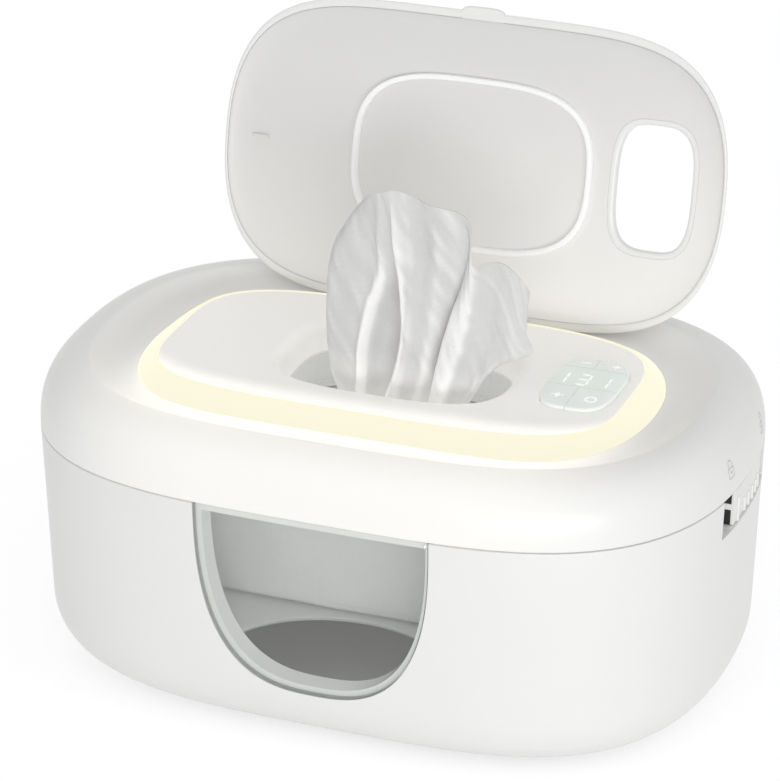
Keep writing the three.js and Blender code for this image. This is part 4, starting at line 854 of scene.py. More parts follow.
@dataclass
class WindowedCase:
    """The lower case with its window, window frame and feet."""

    finishes: Finishes
    form: BodyForm = FORM
    pane_width: float = 79.0
    pane_height: float = 62.2
    pane_power: float = 2.7
    pane_thickness: float = 2.4
    frame_rim: float = 1.9
    frame_top_bar: float = 3.3
    frame_reach: float = 9.6
    flange: float = 3.0
    flange_thickness: float = 1.6
    latch_recess: Pair = (-22.0, 27.0)
    neck_slot: Pair = (-4.4, 10.0)
    neck_slot_inset: Pair = (4.0, 19.0)
    neck_slot_z: Pair = (75.3, 80.3)
    latch_recess_height: float = 13.4
    latch_recess_depth: float = 4.8
    latch_back_wall: float = 2.7
    pocket_rim: float = 3.0
    foot_radius: float = 7.0
    foot_edge: float = 0.8
    foot_top: float = 2.4
    foot_sink: float = 1.1
    foot_x: float = 68.0
    foot_y: float = 34.0

    def build(self) -> None:
        """Builds and dresses every piece."""
        self.build_case()
        self.build_pane()
        self.build_frame()
        self.build_feet()

    def bowl(self, inset: float, steps: int = 12) -> list[np.ndarray]:
        """Rings of the case's skin, or of one set in from it, from the floor to where the wall is straight."""
        form = self.form
        radius = form.bottom_radius - inset
        rings = []
        for k in range(steps + 1):
            turn = k / steps * pi / 2
            z = form.base + inset + radius * (1 - cos(turn))
            rings.append(form.wall_outline(z, inset + radius * (1 - sin(turn))).ring(z))
        return rings

    def slab(self, place: Place, along: np.ndarray, insets: Pair, zs: Pair) -> Object:
        """A stretch of a wall between two depths and heights.

        Args:
            place: Turns a place along the wall, a depth and a height into a point.
            along: Places along the wall.
            insets: The two depths.
            zs: The two heights.

        Returns:
            The solid.
        """
        corners = [(insets[0], zs[0]), (insets[0], zs[1]), (insets[1], zs[1]), (insets[1], zs[0])]
        return lofted("slab", [np.array([place(u, d, z) for d, z in corners]) for u in along])

    def window_points(self, change: float, top: float, steps: int = 96) -> np.ndarray:
        """The window's outline in X and Z, grown by a distance and closed along a level top."""
        half, drop = self.pane_width / 2 + change, self.pane_height + change
        turn = np.linspace(0, pi, steps + 1)
        x = half * np.sign(np.cos(turn)) * np.abs(np.cos(turn)) ** (2 / self.pane_power)
        z = self.form.seam - drop * np.sin(turn).clip(0) ** (2 / self.pane_power)
        rows = np.column_stack([x, z])
        rows = rows[rows[:, 1] < top - 0.02]
        return np.concatenate([[[half, top]], rows, [[-half, top]]])

    def window_tool(self, change: float, top: float) -> Object:
        """A tool through the front wall, as wide as the window grown by a distance."""
        points, depth = self.window_points(change, top), self.form.depth
        rings = [np.column_stack([points[:, 0], np.full(len(points), y), points[:, 1]])
                 for y in (-depth / 2 - 2 * PAST, -depth / 4)]
        return lofted("window_tool", rings)

    def build_case(self) -> None:
        """Builds the drafted case with its bottom radius, window notch and latch recesses."""
        form, top = self.form, self.form.case_top
        rings = self.bowl(0.0, 16) + [form.wall_outline(z).ring(z) for z in (40.0, 60.0, top - 0.5)]
        # The upper edge: a small radius outside, a larger one inside
        edge = ((0.12, top - 0.12), (0.5, top), (form.wall - 0.3, top), (form.wall, top - 0.3))
        rings += [form.wall_outline(top, inset).ring(z) for inset, z in edge]
        case = lofted("case_body", rings + self.bowl(form.wall)[::-1])
        floor = form.seam - self.latch_recess_height
        front, rear = self.latch_recess
        depth, rim, above = self.latch_recess_depth, self.pocket_rim, form.seam + 2 * PAST
        for side in (-1, 1):
            end = partial(form.end_point, side)
            pocket = self.slab(end, np.linspace(front - rim, rear + rim, 25),
                               (form.wall / 2, depth + self.latch_back_wall), (floor - rim, top))
            carve(case, pocket, Cut.ADD)
            recess = self.slab(end, np.linspace(front, rear, 25), (-PAST, depth), (floor, above))
            carve(case, recess, Cut.TAKE)
            xs = sorted(side * (form.length / 2 - inset) for inset in self.neck_slot_inset)
            carve(case, soft_block("slot", *zip(xs, self.neck_slot, self.neck_slot_z), 0.4), Cut.TAKE)
        carve(case, self.window_tool(0.0, above), Cut.TAKE)
        radius = self.foot_radius + SEAT_GAP
        for x in (-self.foot_x, self.foot_x):
            for y in (-self.foot_y, self.foot_y):
                profile = [(radius, form.base - PAST), (radius, form.base + self.foot_sink)]
                carve(case, turned("sink", profile, "z", (x, y)), Cut.TAKE)
        settle(smooth(case), self.finishes.shell, BodyName.CASE, "shell", "lower_case")

    def build_pane(self) -> None:
        """Builds the clear pane as a grid that follows the wall."""
        form = self.form
        half, drop = self.pane_width / 2 - SEAT_GAP, self.pane_height - SEAT_GAP
        rows, columns = 40, 48
        start = math.asin(((form.seam - form.case_top) / drop) ** (self.pane_power / 2))
        turns = np.linspace(start, pi / 2 * 0.995, rows + 1)
        edge = 0.35
        layers = []
        back = self.pane_thickness
        for inset, shrink in ((0.0, edge), (edge, 0.0), (back - edge, 0.0), (back, edge)):
            points = []
            for turn in turns:
                z = form.seam - (drop - shrink) * sin(turn) ** (2 / self.pane_power)
                z = min(z, form.case_top - shrink)
                reach = (half - shrink) * cos(turn) ** (2 / self.pane_power)
                points += [form.front_point(x, inset, z) for x in np.linspace(-reach, reach, columns + 1)]
            layers.append(np.array(points))
        width = columns + 1
        border = list(range(width)) + [(r + 1) * width - 1 for r in range(1, rows + 1)]
        border += list(range((rows + 1) * width - 2, rows * width - 1, -1))
        border += [r * width for r in range(rows - 1, 0, -1)]
        size, last = len(layers[0]), len(layers) - 1
        faces = grid_faces(rows + 1, width) + grid_faces(rows + 1, width, last * size)
        for layer in range(last):
            for a, b in zip(border, border[1:] + border[:1]):
                faces.append((layer * size + a, layer * size + b, (layer + 1) * size + b, (layer + 1) * size + a))
        pane = mesh_object("clear_pane", np.concatenate(layers), faces)
        settle(smooth(pane, 50), self.finishes.window, BodyName.CASE, "window", "window_pane")
        pane.data.materials.append(self.finishes.window_edge)
        for face in pane.data.polygons:
            face.material_index = int(abs(face.normal.y) < 0.6 and face.normal.z < 0.6)

    def build_frame(self) -> None:
        """Builds the deep rim behind the pane and the flange on the wall's inner face."""
        form = self.form
        above, depth = form.seam + 2 * PAST, form.wall + SEAT_GAP
        zs = (form.seam - self.pane_height - 2 * PAST, form.case_top - SEAT_GAP)
        half = self.pane_width / 2 + self.flange + 2
        along = np.linspace(-half, half, 65)
        rim = self.slab(form.front_point, along, (self.pane_thickness + SEAT_GAP, self.frame_reach), zs)
        rim.name = rim.data.name = "window_rim"
        carve(rim, self.window_tool(-SEAT_GAP, above), Cut.KEEP)
        flange = self.slab(form.front_point, along, (depth, depth + self.flange_thickness), zs)
        carve(flange, self.window_tool(self.flange, above), Cut.KEEP)
        room = lofted("room", self.bowl(depth) + [form.wall_outline(above, depth).ring(above)])
        carve(flange, room, Cut.KEEP)
        carve(rim, flange, Cut.ADD)
        carve(rim, self.window_tool(-self.frame_rim, form.seam - self.frame_top_bar), Cut.TAKE)
        settle(smooth(rim), self.finishes.window_frame, BodyName.CASE, "window_frame", "window_frame")

    def build_feet(self) -> None:
        """Builds the four rubber feet."""
        r, e = self.foot_radius, self.foot_edge
        profile = [(r * 0.55, 0.35), (r * 0.6, 0.0), (r - e, 0.0)]
        profile += [(r - e + e * sin(t), e * (1 - cos(t))) for t in np.linspace(0.2, pi / 2, 6)]
        profile += [(r, self.foot_top)]
        for (sx, sy), name in CORNERS.items():
            foot = turned(f"rubber_foot_{name}", profile, "z", (sx * self.foot_x, sy * self.foot_y))
            settle(smooth(foot, 45), self.finishes.rubber, BodyName.CASE, "feet", f"foot_{name}")


@dataclass
class SideLatch:
    """The finger slider in one end wall: a white face with a guide block behind it, painted black as the shade in
    the slot.
    """

    finishes: Finishes
    side: int
    form: BodyForm = FORM
    front: float = -11.2
    rear: float = 26.2
    low: float = 71.6
    high: float = 83.7
    face_inset: float = 0.75
    rib_inset: float = 0.05
    face_back: float = 1.9
    head: Pair = (76.8, 78.9)
    head_back: float = 4.7
    head_length: float = 3.0
    head_gap: float = 0.05
    band_inset: float = 3.1
    band_width: float = 0.9
    band_top: float = 80.4
    rib_width: float = 0.9
    ribs: tuple[float, ...] = (-1.0, 3.5, 8.0, 12.5, 17.0)
    rib_z: Pair = (72.0, 76.9)
    guide_back: float = 4.6
    guide_step: float = 5.0
    guide_rear: float = 20.5
    guide_rear_back: float = 3.8
    neck_y: Pair = (1.1, 9.1)
    neck_z: Pair = (75.8, 79.8)
    neck_inset: float = 3.2
    hook_face: float = 104.6

    def place(self, y: float, inset: float, z: float) -> Triple:
        """A point at a depth behind the end wall's outer face."""
        return self.form.end_point(self.side, y, inset, z)

    def bent(self, ys: Pair, insets: Pair, zs: Pair, radius: float) -> Object:
        """A soft block that follows the end wall."""
        stations = max(2, int((ys[1] - ys[0]) / 1.6))
        return soft_block("bent_block", (ys[0], insets[0], zs[0]), (ys[1], insets[1], zs[1]), radius, self.place,
                          stations=stations)

    def build(self) -> None:
        """Builds the face with its grip, and the guide block with the neck that runs to the hook."""
        name = "right" if self.side > 0 else "left"
        body = BodyName.LATCH_RIGHT if self.side > 0 else BodyName.LATCH_LEFT
        face = self.bent((self.front, self.rear), (self.face_inset, self.face_back), (self.low, self.high), 0.28)
        head = self.bent((self.front, self.front + self.head_length), (self.face_inset, self.head_back),
                         self.head, 0.2)
        carve(face, head, Cut.ADD)
        insets, start = (self.rib_inset, self.face_back - 0.1), self.front + self.band_inset
        band = self.bent((start, start + self.band_width), insets, (self.low, self.band_top), 0.4)
        carve(face, band, Cut.ADD)
        for y in self.ribs:
            carve(face, self.bent((y, y + self.rib_width), insets, self.rib_z, 0.42), Cut.ADD)
        face.name = face.data.name = f"finger_slider_{name}"
        settle(smooth(face), self.finishes.shell, body, "shell", f"latch_slider_{name}")
        self.build_guide(f"slider_guide_{name}", body)

    def build_guide(self, name: str, body: BodyName) -> None:
        """Builds the guide block behind the face, painted black as the shade in the slot, with its neck through
        the wall.
        """
        face_back, height = self.face_back + 0.02, (self.low - 0.1, self.high - 0.1)
        guide = self.bent((self.front + 0.1, self.guide_step), (face_back, self.guide_back), height, 0.25)
        # Thinner towards the rear, where the bent recess closes in on it at the end of the slide
        thin = self.bent((self.guide_step - 0.6, self.guide_rear), (face_back, self.guide_rear_back), height, 0.25)
        carve(guide, thin, Cut.ADD)
        gap = self.head_gap
        room = self.bent((self.front - 1, self.front + self.head_length + gap), (0.0, self.head_back + 0.5),
                         (self.head[0] - gap, self.head[1] + gap), 0.1)
        carve(guide, room, Cut.TAKE)
        xs = sorted((self.side * self.hook_face, self.side * (self.form.length / 2 - self.neck_inset)))
        neck = soft_block("neck", *zip(xs, self.neck_y, self.neck_z), 0.3)
        carve(guide, neck, Cut.ADD)
        guide.name = guide.data.name = name
        # Black as painted shade in the slot
        settle(smooth(guide), self.finishes.dark, body, "dark_parts")


@dataclass
class SpringLift:
    """The sprung plate under the pack, the plate its springs stand on, and the four springs."""

    finishes: Finishes
    spring_x: float = 62.0
    spring_y: float = 38.0
    spring_radius: float = 8.0
    wire: float = 1.2
    curls: float = 4.5
    foot_z: float = 7.8
    head_z: float = 33.3
    stub: float = 6.3
    stub_chamfer: float = 0.5
    notch: Outline = Outline(36.0, 29.0, 2.0, 2.0, 6.5, -80.0)
    # What is left of a spring's height when the plate is pressed down
    travel_share: float = 11.5 / 25.5

    def build(self) -> None:
        """Builds both plates and the springs."""
        self.build_seat_plate()
        self.build_lift_plate()
        self.build_springs()

    def cut_notch(self, plate: Object, top: float) -> None:
        """Takes the bow-shaped notch, undercut below its crisp upper edge, out of a plate's front edge."""
        levels = ((8.0, top - 8.2), (0.0, top - 0.2), (0.0, top + PAST))
        carve(plate, lofted("notch", self.notch.rings(levels, 160)), Cut.TAKE)

    def add_stubs(self, plate: Object, root: float, tip: float) -> None:
        """Adds the stubs that hold the springs' ends, each with a chamfer at its tip."""
        cut = math.copysign(self.stub_chamfer, tip - root)
        profile = [(self.stub, root), (self.stub, tip - cut), (self.stub - self.stub_chamfer, tip)]
        for x in (-self.spring_x, self.spring_x):
            for y in (-self.spring_y, self.spring_y):
                carve(plate, turned("stub", profile, "z", (x, y), 48), Cut.ADD)

    def build_seat_plate(self) -> None:
        """Builds the plate on the case floor."""
        shape = Outline(95.0, 59.0, 3.0, 2.5)
        levels = [(-2.5, 4.5), (-1.2, 4.9), (-0.3, 5.5), (0.0, 6.2), (-0.1, 6.9), (-0.6, 7.5)]
        plate = lofted("spring_seat", shape.rings(levels))
        self.add_stubs(plate, 4.8, 11.0)
        self.cut_notch(plate, 7.5)
        settle(smooth(plate), self.finishes.inner, BodyName.CASE, "inner", "spring_seat_plate")

    def build_lift_plate(self) -> None:
        """Builds the skirted plate that carries the pack."""
        shape = Outline(107.0, 71.0, 3.0, 2.5)
        levels = [(-1.8, 33.6), (-1.8, 31.8), (0.0, 31.8), (0.0, 34.6), (-0.25, 35.3), (-0.7, 35.75), (-1.4, 36.0)]
        plate = lofted("pack_plate", shape.rings(levels))
        self.add_stubs(plate, 34.6, 30.1)
        self.cut_notch(plate, 36.0)
        settle(smooth(plate), self.finishes.inner, BodyName.LIFT, "inner", "pack_lift_plate")

    def build_springs(self) -> None:
        """Builds the four coil springs."""
        steps = int(self.curls * 36)
        turn = np.arange(steps + 1) / 36 * 2 * pi
        rise = np.linspace(0, 1, steps + 1)
        ease = rise + 0.06 * np.sin(2 * pi * rise)
        z = self.foot_z + self.wire / 2 + (self.head_z - self.foot_z - self.wire) * ease
        for (sx, sy), name in CORNERS.items():
            x, y, r = sx * self.spring_x, sy * self.spring_y, self.spring_radius
            path = np.column_stack([x + r * np.cos(turn), y + r * np.sin(turn), z])
            coil = smooth(tube(f"coil_spring_{name}", path, self.wire / 2), 60)
            settle(coil, self.finishes.springs, BodyName.CASE, "spring_steel", f"lift_spring_{name}")
            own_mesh(coil)


@dataclass
class WipePack:
    """The soft flow-wrapped pack on the lift plate."""

    finishes: Finishes
    half_length: float = 84.0
    half_depth: float = 50.0
    low: float = 36.35
    high: float = 83.9
    taper: float = 9.0
    fin: float = 9.0
    fin_depth: float = 46.0
    crimp: float = 1.6
    section_power: float = 24.0

    def section(self, x: float) -> Pair:
        """Half-depth and half-height of the pack at one x."""
        past = (abs(x) - (self.half_length - self.taper)) / (2 * self.taper)
        pinch = float(np.clip(past, 0, 1))
        pinch = pinch * pinch * (3 - 2 * pinch)
        half_height = (self.high - self.low) / 2
        return self.half_depth * (1 - pinch) + self.fin_depth * pinch, half_height * (1 - pinch) + 0.7 * pinch

    def build(self) -> None:
        """Builds the pillow with its crimped fins and its puckered ends."""
        end = self.half_length + self.taper + self.fin
        straight = self.half_length - 14
        xs = np.concatenate([np.linspace(-end, -straight, 50), np.linspace(-68, 68, 60),
                             np.linspace(straight, end, 50)])
        count, middle = 144, (self.low + self.high) / 2
        rings = []
        for x in xs:
            depth, height = self.section(float(x))
            loop = Outline(depth, height, self.section_power, self.section_power).loop(count)
            full = height / ((self.high - self.low) / 2)
            near = float(np.clip((abs(x) - 40) / 45, 0, 1)) * full
            y, z = loop[:, 0], loop[:, 1]
            turn = np.arctan2(z / max(height, 0.1), y / depth)
            pull = near * (0.9 * np.sin(turn * 9 + x * 0.03) + 0.5 * np.sin(turn * 17 + 1.3 - x * 0.05))
            slack = 0.35 * full * (np.sin(x * 0.11 + turn * 3) + 0.6 * np.sin(x * 0.23 - turn * 5))
            # Only inwards, so that the pack stays within its outline
            inward = np.maximum(pull + slack + 1.0, 0) * 0.3 * full
            scale = 1 - inward / np.hypot(depth, height)
            crimp = 0.35 * sin(x * 2 * pi / self.crimp) * (abs(x) > end - self.fin + 0.6)
            rings.append(np.column_stack([np.full(count, x), y * scale, middle + z * scale + crimp]))
        pack = smooth(lofted("flow_wrapped_pack", rings), 60)
        settle(pack, self.finishes.pack, BodyName.LIFT, "pack_film", "wipe_pack")


@dataclass
class TopShell:
    """The top cover's outer shell: shoulder, dished recess, tongue, rear socket and hinge knuckle."""

    finishes: Finishes
    ring_foot: Outline
    form: BodyForm = FORM
    shoulder: float = 15.0
    shoulder_power: float = 2.4
    thickness: float = 2.5
    dip: float = 6.0
    foot_drop: float = 4.7
    flat_share: float = 0.72
    tongue: float = 3.0
    tongue_wall: float = 2.0
    inlet_x: float = 45.0
    inlet_z: float = 93.1
    inlet_radius: float = 4.1
    inlet_y: Pair = (40.0, 90.0)
    hinge_y: float = 49.2
    hinge_z: float = 103.2
    knuckle: float = 2.2
    knuckle_half: float = 13.6
    pin: float = 0.95
    window_room: tuple[Pair, Pair] = ((-44.5, 44.5), (-79.4, -30.0))
    latch_room_x: float = 59.0
    latch_room_y: Pair = (-24.3, 30.3)
    room_low: float = 78.0
    # Painted ring light on the recess: where its pool reaches furthest, how far, and a faint halo with its reach
    painted_light_front: float = -60.0
    painted_light_reach: float = 17.0
    painted_light_halo: float = 0.12
    painted_light_halo_reach: float = 12.0

    def height(self, share: float) -> float:
        """Height of the recess from the crest, share 0, to the light ring's foot, share 1."""
        fall = min(share / self.flat_share, 1)
        dish = self.form.crest - self.dip * (1 - cos(pi * fall ** 0.7)) / 2
        rise = max(share - self.flat_share, 0) / (1 - self.flat_share)
        return dish + (self.dip - self.foot_drop) * rise ** 2

    def shoulder_ring(self, share: float, wall: float) -> np.ndarray:
        """A ring of the shoulder from the seam, share 0, to the crest, share 1."""
        turn, power = share * pi / 2, 2 / self.shoulder_power
        inset = wall + (self.shoulder - wall) * (1 - cos(turn) ** power)
        low = self.form.shell_bottom
        z = low + (self.form.crest - wall - low) * sin(turn) ** power
        return self.form.outline.grown(-inset).ring(z)

    def recess_ring(self, share: float, drop: float) -> np.ndarray:
        """A ring of the recess, lowered by a wall thickness for its underside."""
        rim, edge = self.form.outline.grown(-self.shoulder), self.ring_foot.grown(SEAT_GAP / 2)
        return rim.mixed(edge, share).ring(self.height(share) - drop)

    def build(self) -> None:
        """Builds the shell, its knuckle and its padlock marks."""
        form = self.form
        out, low, tip = form.wall + SEAT_GAP, form.shell_bottom, form.seam - self.tongue
        rings = form.outline.rings([(-0.45, low), (-0.12, low + 0.12)])
        rings += [self.shoulder_ring(s, 0.0) for s in np.linspace(0.03, 1, 34) ** 1.15]
        rings += [self.recess_ring(s, 0.0) for s in np.linspace(0, 1, 46)[1:]]
        rings += [self.recess_ring(s, self.thickness) for s in (1, 0.85, 0.7, 0.55, 0.4, 0.2)]
        rings += [self.shoulder_ring(s, form.wall) for s in np.linspace(0.95, 0.3, 8)]
        rings += form.outline.rings([(-out - self.tongue_wall, z) for z in (low + 5.0, low + 2.0, tip)])
        rings += form.outline.rings([(-out, tip), (-out, low)])
        shell = lofted("top_cover_shell", rings, joined=True)
        inlet = [(self.inlet_radius, y) for y in self.inlet_y]
        carve(shell, turned("inlet", inlet, "y", (self.inlet_x, self.inlet_z), 48), Cut.TAKE)
        zs = (self.room_low, low - 0.02)
        carve(shell, soft_block("window_room", *zip(*self.window_room, zs), 0.5), Cut.TAKE)
        for side in (-1, 1):
            xs = sorted((side * self.latch_room_x, side * (form.length / 2 - form.wall - 0.2)))
            carve(shell, soft_block("latch_room", *zip(xs, self.latch_room_y, zs), 0.5), Cut.TAKE)
        self.store_painted_light(shell)
        settle(smooth(shell), self.finishes.painted_light_shell, BodyName.COVER, "shell", "top_shell")
        self.build_knuckle()
        for side, name in ((-1, "left"), (1, "right")):
            for y, swing, state in ((-16.2, 0.0, "closed"), (19.5, 1.3, "open")):
                self.build_padlock(f"padlock_{state}_{name}", laid_on(shell, 0, side), y, swing)

    def store_painted_light(self, shell: Object) -> None:
        """Stores the share of painted ring light: a pool that reaches furthest at the front, where the ring's
        slope is widest, and a faint halo.
        """
        points = points_of(shell)
        away = away_from(self.ring_foot, points)
        pool = np.exp(-((away + 0.5 * (points[:, 1] - self.painted_light_front)).clip(0) / self.painted_light_reach) ** 2)
        store_share(shell, PAINTED_LAMP_LIGHT, pool + self.painted_light_halo * np.exp(-away / self.painted_light_halo_reach))

    def build_knuckle(self) -> None:
        """Builds the middle knuckle of the hinge on its post."""
        half, r, e = self.knuckle_half, self.knuckle, 0.4
        profile = [(r - e, -half), (r, -half + e), (r, half - e), (r - e, half)]
        knuckle = turned("hinge_knuckle", profile, "x", (self.hinge_y, self.hinge_z), 40)
        post = soft_block("post", (-half, self.hinge_y - 0.6, 98.6), (half, self.hinge_y + r, self.hinge_z), 0.3)
        carve(knuckle, post, Cut.ADD)
        bore = [(self.pin + SEAT_GAP, -half - PAST), (self.pin + SEAT_GAP, half + PAST)]
        carve(knuckle, turned("bore", bore, "x", (self.hinge_y, self.hinge_z), 32), Cut.TAKE)
        settle(smooth(knuckle), self.finishes.shell, BodyName.COVER, "shell")

    def build_padlock(self, name: str, place: Place, y: float, swing: float) -> None:
        """Builds one printed padlock: a body, a keyhole and a shackle that may stand open.

        Args:
            name: Name of the mark.
            place: Lays the drawing on the shoulder.
            y: Its middle.
            swing: How far the shackle stands to one side.
        """
        low, width, height, bend, stroke = 91.0, 1.9, 3.2, 1.3, 0.3
        middle = y + swing
        body = rounded_section((y - width, low), (y + width, low + height), 0.4, 5)
        legs = (middle + bend, low + height), (middle - bend, low + height + (0.6 if swing else 0.0))
        bow = arc((middle, low + height + 1.1), bend, np.linspace(0, pi, 17))
        keyhole = arc((y, low + 1.7), 0.3, np.linspace(0, 2 * pi, 17)[:-1])
        mark = ribbon(name, body, stroke, place, closed=True)
        join(mark, ribbon("shackle", [legs[0], *bow, legs[1]], stroke, place))
        join(mark, ribbon("keyhole", keyhole, 0.5, place, closed=True))
        settle(smooth(mark), self.finishes.mark, BodyName.COVER, "shell")


@dataclass
class LightRing:
    """The sloping diffuser round the deck."""

    finishes: Finishes
    foot: Outline
    top: Outline
    foot_z: float = 100.9
    top_z: float = 106.2
    flange_z: float = 96.8
    band: float = 1.1
    wall: float = 2.2
    flange: float = 2.6
    flange_thickness: float = 1.6

    def build(self) -> None:
        """Builds the diffuser as one closed skin."""
        slope_top, foot = self.top.grown(self.band), self.foot.grown(-SEAT_GAP / 2)
        flange_top, top = self.flange_z, self.top_z
        rings = [foot.ring(flange_top), foot.ring(self.foot_z - 1.0)]
        for share in np.linspace(0, 1, 22):
            bulge = 0.35 * sin(pi * share)
            z = self.foot_z + (top - 0.35 - self.foot_z) * share
            rings.append(foot.mixed(slope_top.grown(0.35), share).grown(bulge * 0.6).ring(z + bulge * 0.5))
        rings += slope_top.rings([(0.1, top - 0.1), (-0.15, top)])
        rings += self.top.grown(SEAT_GAP / 2).rings([(0.15, top), (0.0, top - 0.15), (0.0, top - self.wall)])
        base = flange_top - self.flange_thickness
        rings += foot.rings([(-self.wall, flange_top), (-self.wall, base), (self.flange, base),
                             (self.flange, flange_top)])
        ring = smooth(lofted("glowing_ring", rings, joined=True))
        settle(ring, self.finishes.diffuser, BodyName.COVER, "diffuser", "light_ring")


@dataclass
class DispensingDeck:
    """The flat deck with its rolled-in mouth and the window for the control panel."""

    finishes: Finishes
    top: Outline
    mouth: Outline
    panel: Outline
    top_z: float = 106.2
    thickness: float = 2.0
    skirt: float = 3.0
    skirt_wall: float = 1.6
    edge: float = 0.35
    lip: float = 4.0
    throat: float = 2.5
    throat_depth: float = 8.7
    throat_wall: float = 1.8
    roll_share: float = 0.85
    panel_gap: float = 0.4
    # Painted light from the lamp board: at the front edge, all over, and what the mouth has more
    painted_light_edge: float = 1.3
    painted_light_edge_reach: float = 12.0
    painted_light_front: float = -12.0
    painted_light_front_fade: float = 25.0
    painted_light_all_over: float = 0.45
    painted_light_mouth: float = 0.12

    def build(self) -> None:
        """Builds the deck as one closed skin and cuts the panel window."""
        edge, top = self.top.grown(-SEAT_GAP / 2), self.top_z
        rings = [edge.ring(top - self.skirt), edge.ring(top - self.edge)]
        rings += [edge.grown(-self.edge * (1 - cos(t))).ring(top - self.edge * (1 - sin(t)))
                  for t in (0.5, 1.0, pi / 2)]
        flat, lip = edge.grown(-self.edge), self.mouth.grown(self.lip + 3)
        rings += [flat.mixed(lip, share).ring(top) for share in np.linspace(0, 1, 9)[1:]]
        rings += self.mouth.rings([(self.lip, top), (1.5, top), (0.0, top)])
        last = self.roll_share * pi / 2
        for turn in np.linspace(0, last, 15)[1:]:
            rings.append(self.mouth.grown(-self.lip * sin(turn)).ring(top - self.lip * (1 - cos(turn))))
        end = self.lip + self.throat
        from_inset, from_drop = self.lip * sin(last), self.lip * (1 - cos(last))
        for share in (0.3, 0.6, 0.85, 1.0):
            inset = from_inset + (end - from_inset) * share ** 1.4
            rings.append(self.mouth.grown(-inset).ring(top - from_drop - (self.throat_depth - from_drop) * share))
        rings += self.mouth.rings([(self.throat_wall - end, top - self.throat_depth),
                                   (self.throat_wall - self.lip, top - self.lip - self.thickness),
                                   (self.throat_wall, top - self.thickness)])
        rings += edge.rings([(-self.skirt_wall, top - self.thickness), (-self.skirt_wall, top - self.skirt)])
        deck = lofted("dispensing_deck", rings, joined=True)
        levels = [(0.0, top - 2 * PAST), (0.0, top - 0.3), (0.12, top - 0.12), (0.35, top + 0.02),
                  (0.35, top + PAST)]
        hole = self.panel.grown(self.panel_gap)
        carve(deck, lofted("panel_window", hole.rings(levels, 160)), Cut.TAKE)
        self.store_painted_light(deck)
        settle(smooth(deck), self.finishes.deck, BodyName.COVER, "deck", "top_deck")

    def store_painted_light(self, deck: Object) -> None:
        """Stores the share of painted lamp-board light that each point gets."""
        points, reach = points_of(deck), self.painted_light_edge_reach
        front = self.painted_light_edge * np.clip((self.painted_light_front - points[:, 1]) / self.painted_light_front_fade, 0, 1)
        front = front * (points[:, 2] > self.top_z - self.lip)
        inside = self.painted_light_all_over + self.painted_light_mouth * np.clip((self.top_z - 3.5 - points[:, 2]) / 4, 0, 1)
        store_share(deck, PAINTED_LAMP_LIGHT, np.maximum(front * np.exp(-away_from(self.top, points) / reach), inside))


class Key(Enum):
    """The four keys, with their column, left -1 or right 1, and row, front -1 or rear 1."""

    MINUS = ("minus", -1, 1)
    PLUS = ("plus", 1, 1)
    LIGHT = ("light", -1, -1)
    POWER = ("power", 1, -1)


